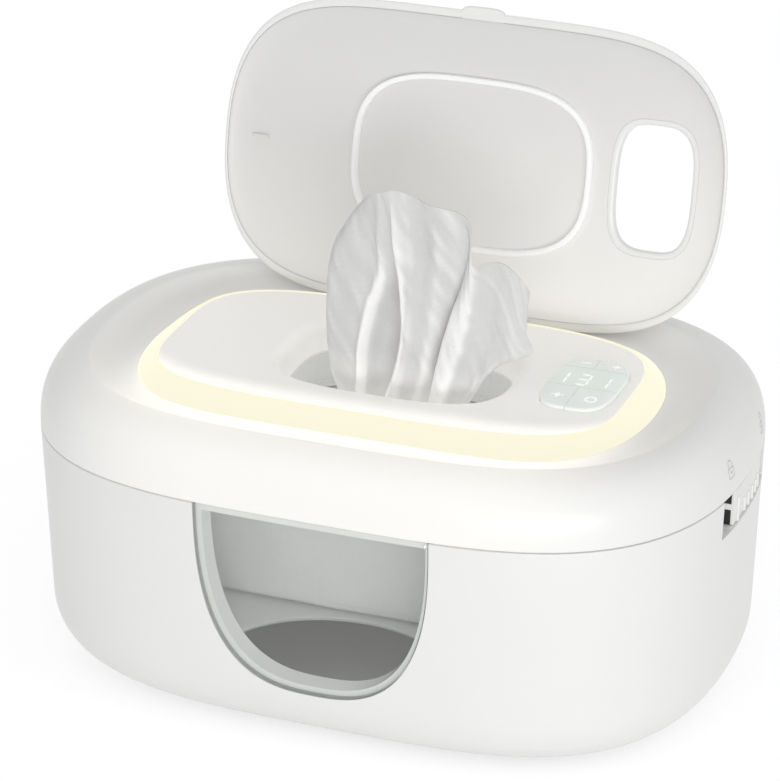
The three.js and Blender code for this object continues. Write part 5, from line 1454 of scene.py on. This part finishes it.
@dataclass
class ControlPanel:
    """The glossy panel: four keys, the display between them, its digits and its printed signs."""

    finishes: Finishes
    shape: Outline
    bottom: float = 102.5
    top: float = 107.2
    edge: float = 0.9
    flange: float = 1.0
    flange_thickness: float = 1.1
    gap: float = 0.16
    split: float = -0.7
    display_front: float = -2.4
    display_rear: float = 12.0
    baseline: float = -0.7
    digit_height: float = 7.6
    digit_width: float = 3.6
    stroke: float = 0.55
    digits: tuple[tuple[str, float], ...] = (("1", 51.9), ("3", 59.4), ("1", 66.0))

    def blank(self) -> Object:
        """Builds the whole panel before it is parted, flanged and softly crowned."""
        flange_top = self.bottom + self.flange_thickness
        levels = [(self.flange, self.bottom), (self.flange, flange_top), (0.0, flange_top),
                  (0.0, self.top - self.edge)]
        levels += [(-self.edge * (1 - cos(t)), self.top - 0.12 - (self.edge - 0.12) * (1 - sin(t)))
                   for t in np.linspace(0.25, pi / 2, 7)]
        levels += [(-3.0, self.top - 0.05), (-6.0, self.top - 0.01), (-8.0, self.top)]
        return lofted("panel_blank", self.shape.rings(levels, 160))

    def cell(self, xs: Pair, ys: Pair, name: str) -> Object:
        """Parts one key or the display from the panel."""
        piece = self.blank()
        piece.name = piece.data.name = name
        tool = soft_block("cell", *zip(xs, ys, (self.bottom - PAST, self.top + PAST)), 0.25)
        return carve(piece, tool, Cut.KEEP)

    def build(self) -> None:
        """Builds the keys with their signs and the display with its digits."""
        half, far, split = self.gap / 2, 40.0, self.shape.x + self.split
        columns = {-1: (split - far, split - half), 1: (split + half, split + far)}
        rows = {-1: (self.shape.y - far, self.display_front - half),
                1: (self.display_rear + half, self.shape.y + far)}
        for key in Key:
            name, column, row = key.value
            piece = self.cell(columns[column], rows[row], f"key_cap_{name}")
            settle(smooth(piece, 40), self.finishes.panel, f"key_{name}", "panel", f"key_{name}")
            lines = [ribbon("line", line, width, laid_on(piece, 2), closed, 0.09)
                     for line, width, closed in self.sign(key)]
            self.finish_drawing(f"key_sign_{name}", lines, self.finishes.icon, f"key_{name}")
        lens = self.cell((split - far, split + far), (self.display_front + half, self.display_rear - half),
                         "display_cap")
        settle(smooth(lens, 40), self.finishes.display, BodyName.COVER, "panel", "display_lens")
        self.build_digits(laid_on(lens, 2))

    def finish_drawing(self, name: str, lines: list[Object], finish: Material, body: BodyName | str) -> None:
        """Joins the lines of one drawing, dresses it and lets it ride on a body."""
        drawing = lines[0]
        drawing.name = drawing.data.name = name
        for line in lines[1:]:
            join(drawing, line)
        settle(drawing, finish, body, "panel")

    def build_digits(self, place: Place) -> None:
        """Builds the lit segments of the three digits."""
        segments = {"1": "bc", "3": "abgcd"}
        w, h, g = self.digit_width, self.digit_height, 0.45
        lines = {"a": ((g, h), (w - g, h)), "b": ((w, h - g), (w, h / 2 + g)), "c": ((w, h / 2 - g), (w, g)),
                 "d": ((g, 0), (w - g, 0)), "g": ((g, h / 2), (w - g, h / 2))}
        for index, (digit, x) in enumerate(self.digits):
            parts = []
            for letter in segments[digit]:
                line = [(x + u, self.baseline + v) for u, v in lines[letter]]
                parts.append(ribbon("segment", line, self.stroke, place, height=0.12))
            self.finish_drawing(f"display_digit_{index + 1}", parts, self.finishes.lit_digit, BodyName.COVER)

    def sign(self, key: Key) -> list[tuple[list[Pair], float, bool]]:
        """The lines of a key's sign: a dash, a cross, a lamp or a switch ring.

        Args:
            key: The key.

        Returns:
            Lines of points with their width and whether they are closed.
        """
        turn = np.linspace(0, 2 * pi, 33)[:-1]
        if key is Key.MINUS:
            return [([(56.5, 15.9), (59.6, 15.9)], 0.6, False)]
        if key is Key.PLUS:
            x, y, arm = 68.3, 16.0, 1.3
            return [([(x - arm, y), (x + arm, y)], 0.6, False), ([(x, y - arm), (x, y + arm)], 0.6, False)]
        if key is Key.LIGHT:
            x, y = 56.8, -10.3
            rays = [([(x + u * 1.3, y + v * 1.3), (x + u * 2.0, y + v * 2.0)], 0.4, False)
                    for u, v in ((1, 0), (-1, 0), (0, 1), (0, -1))]
            return [(arc((x, y), 0.6, turn), 0.7, True), *rays]
        return [(arc((68.0, -10.4), 1.75, turn), 0.6, True)]


@dataclass
class StandingWipe:
    """One wipe pulled up through the mouth, gathered into upright folds that fan out to its top edge."""

    finishes: Finishes
    plane: float = -11.0
    thickness: float = 0.45
    deck_z: float = 106.9
    # Waves across the cloth and their heights
    ripples: tuple[tuple[int, float], ...] = ((5, 0.12), (9, 0.07), (16, 0.05), (27, 0.035))
    hem_share: float = 0.07
    # Painted lamp light on the cloth: full below the deck, fading out by this height
    painted_light_top: float = 114.0
    painted_light_fade: float = 16.0
    # Each fold line from left to right, as points of x, depth behind the plane, and z
    folds: tuple[tuple[Triple, ...], ...] = (
        ((-13.9, 1.2, 86), (-18.8, 1.8, 97.4), (-21.2, 2.4, 107.6), (-22.6, 2.4, 119.6),
         (-22.1, 2.1, 135.5), (-19.8, 1.8, 147.4), (-15.3, 1.2, 155.7), (-11.7, 0.6, 161.2)),
        ((-13.4, -0.6, 86), (-17.6, -0.6, 96.7), (-19.9, -1.2, 106.5), (-20.9, -1.2, 118.5),
         (-20.1, -1.2, 134.5), (-17.5, -1.2, 146.5), (-11.7, -1.2, 158.5), (-8.4, -1.2, 165.2)),
        ((-11.3, -1.2, 86), (-14.2, -2.4, 96.2), (-15.2, -3.6, 105.8), (-15.2, -3.9, 117.7),
         (-13.8, -3.6, 133.8), (-11.1, -3.3, 145.9), (-8, -3, 158.5), (-6.2, -2.4, 167.5)),
        ((-9.4, -2.4, 86), (-10.7, -3.6, 95.8), (-10.1, -5.4, 105.3), (-9.5, -6, 117.1),
         (-6.6, -5.7, 133.2), (-3.6, -4.8, 144.5), (-3.8, -4.2, 156.7), (-4.1, -3.3, 168.7)),
        ((-8.6, -3, 86), (-9.2, -4.2, 95.7), (-8.3, -6.3, 105), (-7.6, -6.8, 116.9),
         (-3.9, -6.6, 133), (-0.9, -6, 142.1), (-2, -5.4, 155.3), (-2.2, -3.9, 169.6)),
        ((-6.7, 0, 86), (-6.1, 0.6, 97), (-4.4, 0, 106.9), (-2.4, -0.6, 118.7),
         (0.9, -1.2, 132.5), (2.8, -3.6, 142.2), (1.2, -5.5, 154.3), (-0.3, -4.2, 170.3)),
        ((-2.5, 0.6, 86), (-2.1, 1.2, 97.2), (1, 0.6, 107), (4.1, 0, 118.9),
         (5.3, -0.6, 131.7), (4.9, -3.9, 141.7), (3.4, -5.9, 153.2), (1, -4.2, 170.6)),
        ((-2.2, -2.4, 86), (-0.8, -3.6, 95.8), (2.9, -5.1, 106.4), (5.5, -6, 118.1),
         (6.4, -6.6, 131), (5.8, -7, 141.8), (3.9, -6.6, 153), (2.6, -4, 170.7)),
        ((-0.5, -3, 86), (1.2, -4, 95.7), (4.6, -5.3, 106.3), (7.1, -5.8, 118.2),
         (8.1, -5.6, 131.2), (8.3, -5, 142.4), (7.6, -4, 153.7), (4.5, -2.6, 170)),
        ((3.9, -1.2, 86), (5.8, -1.8, 96.3), (8.5, -3, 107), (10.6, -3.6, 118.8),
         (11.7, -3.3, 131.9), (12, -2.1, 143.3), (11.9, -0.3, 154.8), (8.1, -0.2, 168.1)),
        ((6.7, -1.2, 86), (9, -1.8, 96.3), (11.8, -2.7, 107.1), (14.3, -3.2, 118.9),
         (16.3, -3.2, 131.9), (17.1, -2.5, 143.1), (17.2, -1.6, 154.4), (13.7, -0.4, 166.4)),
        ((8.9, 0, 86), (12.2, 0, 96.9), (15, -0.6, 107.7), (18.1, -1.2, 119.5),
         (21.1, -1.8, 132.3), (22.4, -2, 143.3), (22.7, -1.8, 154.3), (20, -1.1, 166)),
        ((10.8, 0, 86), (13.5, 0.4, 97), (16.4, 0.1, 107.9), (19.5, -0.1, 119.8),
         (23, -0.6, 131.7), (26.1, -1.2, 143.5), (27.3, -1.2, 153.5), (24.6, -0.8, 164.9)),
        ((11.3, -1.8, 86), (14.2, -3, 96), (16.5, -4.5, 106.6), (19.2, -5.4, 118.3),
         (22.5, -5.6, 130.2), (26, -3.6, 141.8), (27.4, -2.2, 151.2), (27.8, -1.4, 161.1)),
        ((13.2, -2.4, 86), (17.4, -3.8, 95.8), (20, -5.5, 104.9), (23.1, -6.4, 114.6),
         (26.1, -6.6, 125.2), (27.9, -5.8, 135.2), (28.7, -4.2, 142.9), (28.9, -3.4, 149)),
        ((15.6, -0.6, 86), (20.9, -1.2, 96.9), (23.8, -2.4, 105.6), (27.1, -3.4, 114.9),
         (30.1, -4.1, 125.3), (31.8, -4, 135.3), (32.4, -3.4, 143.3), (32.6, -2.9, 149.9)),
        ((17.8, 0, 86), (23.4, -0.6, 97.7), (26.8, -1.6, 106), (30.8, -2.4, 114.4),
         (34.4, -3.1, 123.6), (36.1, -3.2, 133.9), (36.7, -2.9, 143), (37, -2.4, 151)),
        ((18.6, -0.6, 86), (25.1, -1.2, 98.1), (28.8, -2.2, 106.6), (33.8, -3, 114.4),
         (38.2, -3.6, 122.4), (39.6, -3.6, 132.4), (40.2, -3.1, 142), (40.5, -2.5, 150.4)),
        ((19.2, -0.6, 86), (26.1, -1.2, 99.1), (30.4, -2.4, 107.8), (36.3, -3.4, 114.9),
         (42.4, -4, 121.3), (42.7, -3.8, 130.4), (43, -3.1, 139.6), (43.6, -2.3, 148)),
        ((19.6, 0, 86), (27.2, -0.6, 100.3), (31.9, -1.8, 109.3), (38.7, -2.8, 116),
         (45.9, -3.4, 121.5), (45.1, -3.2, 128.5), (45.2, -2.4, 136.2), (46, -1.4, 144.7)),
        ((19.6, 1.2, 86), (28.1, 0.6, 101.2), (33.5, -0.6, 110.7), (41, -1.6, 117),
         (49.1, -2.3, 121.6), (47.1, -2, 128.1), (46.8, -1.1, 134.2), (47.2, 0, 141.5)),
    )

    def surface(self) -> np.ndarray:
        """Smooth points of the cloth's middle.

        Returns:
            An array of fold places by heights by three coordinates.
        """
        rows = np.array(self.folds, float)
        rows = np.stack([spline(line, 8) for line in rows])
        across = spline(rows, 6)
        across[..., 1] += self.plane
        n, m = across.shape[:2]
        u, v = np.meshgrid(np.linspace(0, 1, n), np.linspace(0, 1, m), indexing="ij")
        rng = np.random.default_rng(7)
        ripple = np.zeros((n, m))
        for waves, height in self.ripples:
            for _ in range(3):
                fu, fv = rng.uniform(0.6, 1.4, 2) * (waves, waves * 0.5)
                ripple += height * np.sin(2 * pi * (fu * u + fv * v) + rng.uniform(0, 2 * pi))
        across[..., 1] += ripple * np.clip(v * 3, 0, 1)
        hem = np.clip((v - 1 + self.hem_share) / self.hem_share, 0, 1) ** 2
        across[..., 1] += 0.4 * hem * np.sin(u * 19 + 0.6)
        return across

    def relief(self, grid: np.ndarray, reach: int = 4) -> np.ndarray:
        """How far each point stands out of the cloth around it, 0 in a pocket, 1 on a ridge, which the cloth's
        finish turns into painted shade and painted light.

        Args:
            grid: The cloth's middle.
            reach: Columns to each side that it is compared with.

        Returns:
            One value for each point of the grid.
        """
        depth = grid[..., 1]
        padded = np.pad(depth, ((reach, reach), (0, 0)), mode="reflect", reflect_type="odd")
        around = sum(padded[k:k + len(depth)] for k in range(2 * reach + 1)) / (2 * reach + 1)
        stands = around - depth
        return 0.3 + 0.8 * np.clip(stands / 0.5, 0, 1) ** 1.3 - 0.3 * np.clip(-stands / 1.5, 0, 1)

    def build(self) -> None:
        """Builds the cloth and thickens it."""
        grid = self.surface()
        a, b = grid[1:, :-1] - grid[:-1, :-1], grid[:-1, 1:] - grid[:-1, :-1]
        area = float(np.linalg.norm(np.cross(a, b), axis=2).sum()) * MM * MM
        wipe = mesh_object("standing_wipe", grid.reshape(-1, 3), grid_faces(*grid.shape[:2]))
        # Fold relief for the painted light and shade of the folds, and the share of painted lamp light
        store_share(wipe, FOLD_SHADE_MASK, self.relief(grid))
        store_share(wipe, PAINTED_LAMP_LIGHT, (self.painted_light_top - grid[..., 2]) / self.painted_light_fade)
        skin = wipe.modifiers.new("thickness", "SOLIDIFY")
        skin.thickness, skin.offset = self.thickness * MM, 0.0
        bake(wipe)
        settle(smooth(wipe, 80), self.finishes.cloth, BodyName.COVER, "wipe_cloth", "wipe_sheet")
        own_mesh(wipe)


@dataclass
class OpenLid:
    """The lid, built as it lies closed and then swung open: cover, lining and mouth seal."""

    finishes: Finishes
    shape: Outline
    hole: Outline
    seal: Outline
    rim: float = 106.6
    thickness: float = 6.4
    shoulder: float = 7.5
    crown: float = 0.9
    crown_inset: float = 22.5
    lip: float = 2.8
    end_lip: float = 1.0
    skin: float = 2.2
    setback: float = 0.15
    hairline: float = 0.03
    fillet: float = 9.0
    lining_depth: float = 2.4
    lining_thickness: float = 1.6
    groove: float = 0.8
    collar: float = 2.0
    lip_round: float = 1.0
    seal_width: float = 1.8
    seal_tip: float = 0.9
    seal_stand_off: float = 0.15
    hinge_y: float = 49.2
    hinge_z: float = 103.2
    knuckle: float = 2.2
    pin: float = 0.95
    lug_from: float = 14.1
    lug_to: float = 23.9
    open_degrees: float = 103.3
    tab_width: float = 15.2
    tab_depth: float = 6.4
    tab_reach: float = 1.6
    tab_height: float = 2.4
    fin_x: float = -76.4
    fin_width: float = 5.7
    # How far in a flat face's last ring lies, before its middle is closed
    cap_inset: float = 30.0
    seal_cap_inset: float = 25.0
    # Painted ring light on the lining: its fall-off up the lid, its strength, and how it grows to the right
    painted_light_height: float = 75.0
    painted_light_share: float = 0.7
    painted_light_rise_x: float = 400.0

    @property
    def face(self) -> float:
        """Height of the lining's face on the closed lid."""
        return self.rim + self.lining_depth

    @property
    def ceiling(self) -> float:
        """Height of the cover's inner face over the lining."""
        return self.face + self.lining_thickness + SEAT_GAP

    def swing(self, made: Object) -> Object:
        """Swings a piece of the closed lid open about the hinge."""
        pivot = Vector((0, self.hinge_y, self.hinge_z)) * MM
        turn = Matrix.Rotation(math.radians(-self.open_degrees), 4, "X")
        made.data.transform(Matrix.Translation(pivot) @ turn @ Matrix.Translation(-pivot))
        return made

    def build(self) -> None:
        """Builds the three pieces of the lid."""
        self.build_cover()
        self.build_lining()
        self.build_seal()

    def hole_tool(self) -> Object:
        """The tool that cuts the panel hole, with rolled edges at both faces."""
        r, top, face = self.lip_round, self.rim + self.thickness, self.face
        levels = [(2 * r, face - PAST), (r * 1.2, face - 0.02)]
        levels += [(r * (1 - sin(t)), face + r * (1 - cos(t))) for t in np.linspace(0.15, pi / 2, 7)]
        levels += [(0.9 * r * (1 - cos(t)), top - 1.1 * r * (1 - sin(t))) for t in np.linspace(0, 1.4, 7)]
        levels += [(1.6 * r, top + 0.6), (1.6 * r, top + PAST)]
        return lofted("panel_hole", self.hole.rings(levels, 200))

    def build_cover(self) -> None:
        """Builds the domed outer cover with its rim, thumb tab, hinge lugs and hole."""
        top, lip, soft = self.rim + self.thickness, self.lip, 0.4
        inner = self.shape.grown(-self.end_lip, -lip)
        rings = inner.rings([(-self.cap_inset, self.ceiling), (-lip, self.ceiling), (0.0, self.rim + self.skin)])
        for turn in np.linspace(0, pi, 11):
            share = (1 - cos(turn)) / 2
            rings.append(inner.mixed(self.shape, share).ring(self.rim + soft * (1 - sin(turn))))
        for turn in np.linspace(0, pi / 2, 20)[1:]:
            z = self.rim + soft + (self.thickness - soft) * sin(turn)
            rings.append(self.shape.grown(-self.shoulder * (1 - cos(turn))).ring(z))
        for share in np.linspace(0, 1, 8)[1:]:
            inset = self.shoulder + (self.crown_inset - self.shoulder) * share
            rings.append(self.shape.grown(-inset).ring(top + self.crown * (1 - (1 - share) ** 2)))
        cover = lofted("lid_outer_cover", rings)
        levels = [(self.collar, self.face), (self.collar, top - self.lip_round)]
        carve(cover, lofted("collar", self.hole.rings(levels, 200)), Cut.ADD)
        carve(cover, self.hole_tool(), Cut.TAKE)
        front = self.shape.y - self.shape.b - self.tab_reach
        tab = Outline(self.tab_width / 2, self.tab_depth / 2, 4.0, 4.0, 0.0, front + self.tab_depth / 2)
        levels = [(-0.3, 0.0), (0.0, 0.3), (0.0, 1.2), (-0.2, 1.9), (-0.6, self.tab_height)]
        tab_piece = lofted("tab", tab.rings([(out, self.rim + z) for out, z in levels], 80))
        carve(tab_piece, lofted("tab_room", inner.rings([(0.0, self.rim - PAST), (0.0, self.rim + 6)])), Cut.TAKE)
        carve(cover, tab_piece, Cut.ADD)
        for side in (-1, 1):
            a, b = sorted((side * self.lug_from, side * self.lug_to))
            y, z, r = self.hinge_y, self.hinge_z, self.knuckle
            eye = turned("eye", [(r - 0.4, a), (r, a + 0.4), (r, b - 0.4), (r - 0.4, b)], "x", (y, z), 40)
            neck = soft_block("neck", (a, y - r, z), (b, y + r, self.rim + 1.4), 0.3)
            carve(cover, carve(eye, neck, Cut.ADD), Cut.ADD)
        bore = turned("bore", [(self.pin + SEAT_GAP, -27.2), (self.pin + SEAT_GAP, 27.2)], "x",
                      (self.hinge_y, self.hinge_z), 32)
        carve(cover, bore, Cut.TAKE)
        settle(smooth(self.swing(cover)), self.finishes.shell, BodyName.LID, "shell", "lid_cover")

    def build_lining(self) -> None:
        """Builds the shallow tray with its seal groove, panel hole and small fin."""
        edge = self.shape.grown(-self.end_lip, -self.lip).grown(-self.hairline)
        edge_z, half, deep = self.rim + self.setback, self.seal_width / 2 + self.hairline, self.face + self.groove
        rings = self.seal.rings([(-self.seal_cap_inset, self.face), (-half, self.face), (-half, deep),
                                 (half, deep), (half, self.face)])
        for turn in np.linspace(pi / 2, 0, 18):
            z = edge_z + (self.face - edge_z) * sin(turn)
            rings.append(edge.grown(-self.fillet * (1 - cos(turn))).ring(z))
        back = self.face + self.lining_thickness
        rings += edge.rings([(0.0, self.rim + self.skin - SEAT_GAP), (-self.lip - SEAT_GAP, back),
                             (-self.cap_inset, back)])
        lining = lofted("lid_lining", rings)
        fin = soft_block("fin", (self.fin_x - self.fin_width / 2, self.shape.y - 0.5, self.face - 2),
                         (self.fin_x + self.fin_width / 2, self.shape.y + 0.5, self.face + 0.8), 0.4)
        carve(lining, fin, Cut.ADD)
        room, zs = self.collar + self.hairline, (self.rim - PAST, self.ceiling + PAST)
        carve(lining, lofted("hole", self.hole.rings([(room, z) for z in zs], 200)), Cut.TAKE)
        for side in (-1, 1):
            xs = sorted((side * (self.lug_from - SLIDE_GAP), side * (self.lug_to + SLIDE_GAP)))
            ys = (self.hinge_y - self.knuckle - SLIDE_GAP, self.hinge_y + 2 * PAST)
            carve(lining, soft_block("lug_gap", *zip(xs, ys, zs), 0.3), Cut.TAKE)
        points = points_of(self.swing(lining))
        # Painted ring light: it falls off up the open lid, and is stronger on the right
        share = np.exp(-((points[:, 2] - self.hinge_z) / self.painted_light_height) ** 2)
        store_share(lining, PAINTED_LAMP_LIGHT, share * (self.painted_light_share + points[:, 0] / self.painted_light_rise_x))
        settle(smooth(lining), self.finishes.liner, BodyName.LID, "liner", "lid_liner")

    def build_seal(self) -> None:
        """Builds the soft seal that closes round the mouth."""
        half, tip = self.seal_width / 2, self.seal_tip / 2
        tip_z, back = self.rim - self.seal_stand_off, self.face + self.groove - SEAT_GAP
        levels = [(-half, back), (-half, tip_z + 0.9)]
        levels += [(-half + (half - tip) * (1 - cos(t)), tip_z + 0.9 - 0.9 * sin(t))
                   for t in np.linspace(0.2, pi / 2, 6)]
        levels += [(-d, z) for d, z in reversed(levels)]
        seal = self.swing(lofted("mouth_seal", self.seal.rings(levels), joined=True))
        settle(smooth(seal, 60), self.finishes.silicone, BodyName.LID, "seal", "lid_seal")


class CarriedOver:
    """The CAD nodes that keep their own meshes."""

    def __init__(self, finishes: Finishes) -> None:
        """Lists the nodes by finish."""
        self.nodes = {
            finishes.inner_painted_glow: ["bottom_cover"],
            finishes.inner: ["latch_hook_left", "latch_hook_right"],
            finishes.board: ["control_board", "light_board"],
            finishes.dark: ["display_block", "power_inlet", "switch_minus", "switch_plus", "switch_light",
                            "switch_power"],
            finishes.film: ["heater_plate", "heater_film"],
            finishes.pin: ["hinge_pin"],
            finishes.screws: [f"cover_screw_{place}" for place in (
                *CORNERS.values(), "front_middle", "rear_middle")],
        }

    def dress(self) -> None:
        """Gives every carried-over node its finish."""
        for material, names in self.nodes.items():
            for name in names:
                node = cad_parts[name]
                for slot in node.material_slots:
                    slot.material = material
                LOG.info("%s: CAD mesh, %s", name, material.name)


@dataclass
class Studio:
    """Floor, light and the camera at the photograph's viewing angle; the camera's lengths are millimetres."""

    azimuth: float = 0.365
    elevation: float = 0.437
    distance: float = 1260.7
    shift_right: float = -3.9
    shift_up: float = 85.65
    focal_pixels: float = 3731.4
    image_long_side: float = 781.0
    sensor: float = 36.0
    floor_radius: float = 4.0
    floor_drop: float = 0.0002
    shadow_from: float = 0.13
    shadow_to: float = 0.27
    floor_lift: float = 0.62
    world_strength: float = 0.66
    soft_box_place: Triple = (1.0, -1.77, 0.27)
    soft_box_size: Pair = (1.5, 0.5)
    soft_box_aim: Triple = (0.0, 0.0, 0.08)
    soft_box_power: float = 15.4

    def build(self) -> None:
        """Builds the whole studio."""
        self.build_floor()
        self.build_world()
        self.build_lamp()
        self.build_camera()

    def seen(self, tree: NodeTree) -> Node:
        """A node that gives 1 where the camera, a gloss or clear plastic shows the surface."""
        ray = add_node(tree, "LightPath").outputs
        first = add_node(tree, "Math", {0: ray["Is Camera Ray"], 1: ray["Is Glossy Ray"]}, operation="MAXIMUM")
        return add_node(tree, "Math", {0: first, 1: ray["Is Transmission Ray"]}, operation="MAXIMUM")

    def build_floor(self) -> None:
        """Builds a pale floor that keeps the shadow near the object and turns white further out."""
        turn = np.linspace(0, 2 * pi, 128, endpoint=False)
        rings = [np.column_stack([r * np.cos(turn), r * np.sin(turn), np.zeros(128)]) / MM
                 for r in (0.02, 0.4, 0.8, self.floor_radius)]
        floor = lofted("studio_floor", rings, capped=False)
        floor.location.z = -self.floor_drop
        made, tree = new_material("white_paper_floor")
        where = add_node(tree, "TexCoord").outputs["Object"]
        away = add_node(tree, "VectorMath", {0: where}, operation="LENGTH").outputs["Value"]
        fade = add_node(tree, "MapRange", {"Value": away, "From Min": self.shadow_from,
                                           "From Max": self.shadow_to})
        visible = self.seen(tree)
        share = add_node(tree, "Math", {0: fade, 1: visible}, operation="MULTIPLY")
        # What the object's light falls on, and what is seen: darker paper lifted by a light of its own
        paper = add_node(tree, "BsdfDiffuse", {"Color": linear("#F5F5F5")})
        dim_paper = add_node(tree, "BsdfDiffuse", {"Color": linear("#C4C4C4")})
        lift = add_node(tree, "Emission", {"Color": WHITE, "Strength": self.floor_lift})
        lifted = add_node(tree, "AddShader", {0: dim_paper, 1: lift})
        veil = add_node(tree, "MixShader", {"Fac": visible, 1: paper, 2: lifted})
        white = add_node(tree, "Emission", {"Color": WHITE, "Strength": 1.0})
        mix = add_node(tree, "MixShader", {"Fac": share, 1: veil, 2: white})
        add_node(tree, "OutputMaterial", {"Surface": mix})
        dress(floor, made)

    def build_world(self) -> None:
        """Builds soft even light, shown as white behind the object."""
        world = bpy.data.worlds.new("soft_white_room")
        bpy.context.scene.world = world
        world.use_nodes = True
        tree = world.node_tree
        tree.nodes.clear()
        light = add_node(tree, "Background", {"Color": WHITE, "Strength": self.world_strength})
        white = add_node(tree, "Background", {"Color": WHITE, "Strength": 1.0})
        mix = add_node(tree, "MixShader", {"Fac": self.seen(tree), 1: light, 2: white})
        add_node(tree, "OutputWorld", {"Surface": mix})

    def build_lamp(self) -> None:
        """Builds a soft box that looks at the object from its front right."""
        data = bpy.data.lights.new("soft_box", "AREA")
        data.shape, data.energy = "RECTANGLE", self.soft_box_power
        data.size, data.size_y = self.soft_box_size
        lamp = bpy.data.objects.new("soft_box", data)
        bpy.context.scene.collection.objects.link(lamp)
        lamp.location = self.soft_box_place
        lamp.rotation_mode = "QUATERNION"
        look = Vector(self.soft_box_aim) - Vector(self.soft_box_place)
        lamp.rotation_quaternion = look.to_track_quat("-Z", "Y")

    def build_camera(self) -> None:
        """Places the camera at the photograph's angle, distance and framing."""
        az, el = self.azimuth, self.elevation
        right = Vector((cos(az), sin(az), 0))
        back = Vector((sin(az) * cos(el), -cos(az) * cos(el), sin(el)))
        up = back.cross(right)
        data = bpy.data.cameras.new("camera")
        data.sensor_width = self.sensor
        data.lens = self.focal_pixels * self.sensor / self.image_long_side
        data.clip_start, data.clip_end = 0.05, 50.0
        camera = bpy.data.objects.new("camera", data)
        bpy.context.scene.collection.objects.link(camera)
        place = (self.shift_right * right + self.shift_up * up + self.distance * back) * MM
        turn = Matrix((right, up, back)).transposed().to_4x4()
        camera.matrix_world = Matrix.Translation(place) @ turn
        bpy.context.scene.camera = camera


@dataclass
class WipeWarmer:
    """The whole object: the outlines that pieces share, and its sub-assemblies in order."""

    form: BodyForm = FORM
    ring_y: float = -1.3
    # Shares of the body at the light ring's foot, and of the deck at its mouth, for ends and sides
    ring_share: Pair = (0.7356, 0.5985)
    mouth_share: Pair = (0.5428, 0.705)
    ring_slope: Pair = (-8.5, -7.5)
    lid_overlap: Pair = (2.1, 2.3)
    lid_setback: float = 1.5
    panel_half: Pair = (11.9, 19.2)
    panel_from_end: float = 15.9
    panel_y: float = 0.9
    hole_half: Pair = (13.1, 21.1)
    hole_shift: Pair = (1.1, -0.7)
    parts: list[object] = field(default_factory=list)

    def build(self) -> None:
        """Builds every sub-assembly and dresses the carried-over nodes."""
        finishes, form, y = Finishes(), self.form, self.ring_y
        ends, sides = self.ring_share
        foot = Outline(form.length * ends / 2, form.depth * sides / 2, 5.77, 2.0, 0.0, y)
        top = replace(foot.grown(*self.ring_slope), p=3.85, q=3.76)
        mouth = Outline(top.a * self.mouth_share[0], top.b * self.mouth_share[1], 3.2, 3.2, 0.0, y)
        panel = Outline(*self.panel_half, 3.2, 3.2, top.a - self.panel_from_end, self.panel_y)
        lid = replace(foot.grown(*self.lid_overlap), p=5.08, q=2.38, y=y + self.lid_setback)
        centre = panel.x + self.hole_shift[0], panel.y + self.hole_shift[1]
        hole = Outline(*self.hole_half, 3.39, 3.39, *centre)
        seal = replace(mouth.grown(-1.0), p=3.26, q=2.98, y=lid.y)
        self.parts = [
            WindowedCase(finishes), SideLatch(finishes, -1), SideLatch(finishes, 1), SpringLift(finishes),
            WipePack(finishes), TopShell(finishes, foot), LightRing(finishes, foot, top),
            DispensingDeck(finishes, top, mouth, panel), ControlPanel(finishes, panel), StandingWipe(finishes),
            OpenLid(finishes, lid, hole, seal),
        ]
        for part in self.parts:
            LOG.info("building %s", type(part).__name__)
            part.build()
        CarriedOver(finishes).dress()


def main() -> None:
    """Builds the warmer and its studio."""
    logging.basicConfig(level=logging.INFO, format="%(message)s")
    bpy.context.scene.view_settings.view_transform = "Standard"
    WipeWarmer().build()
    Studio().build()


if __name__ == "__main__":
    main()
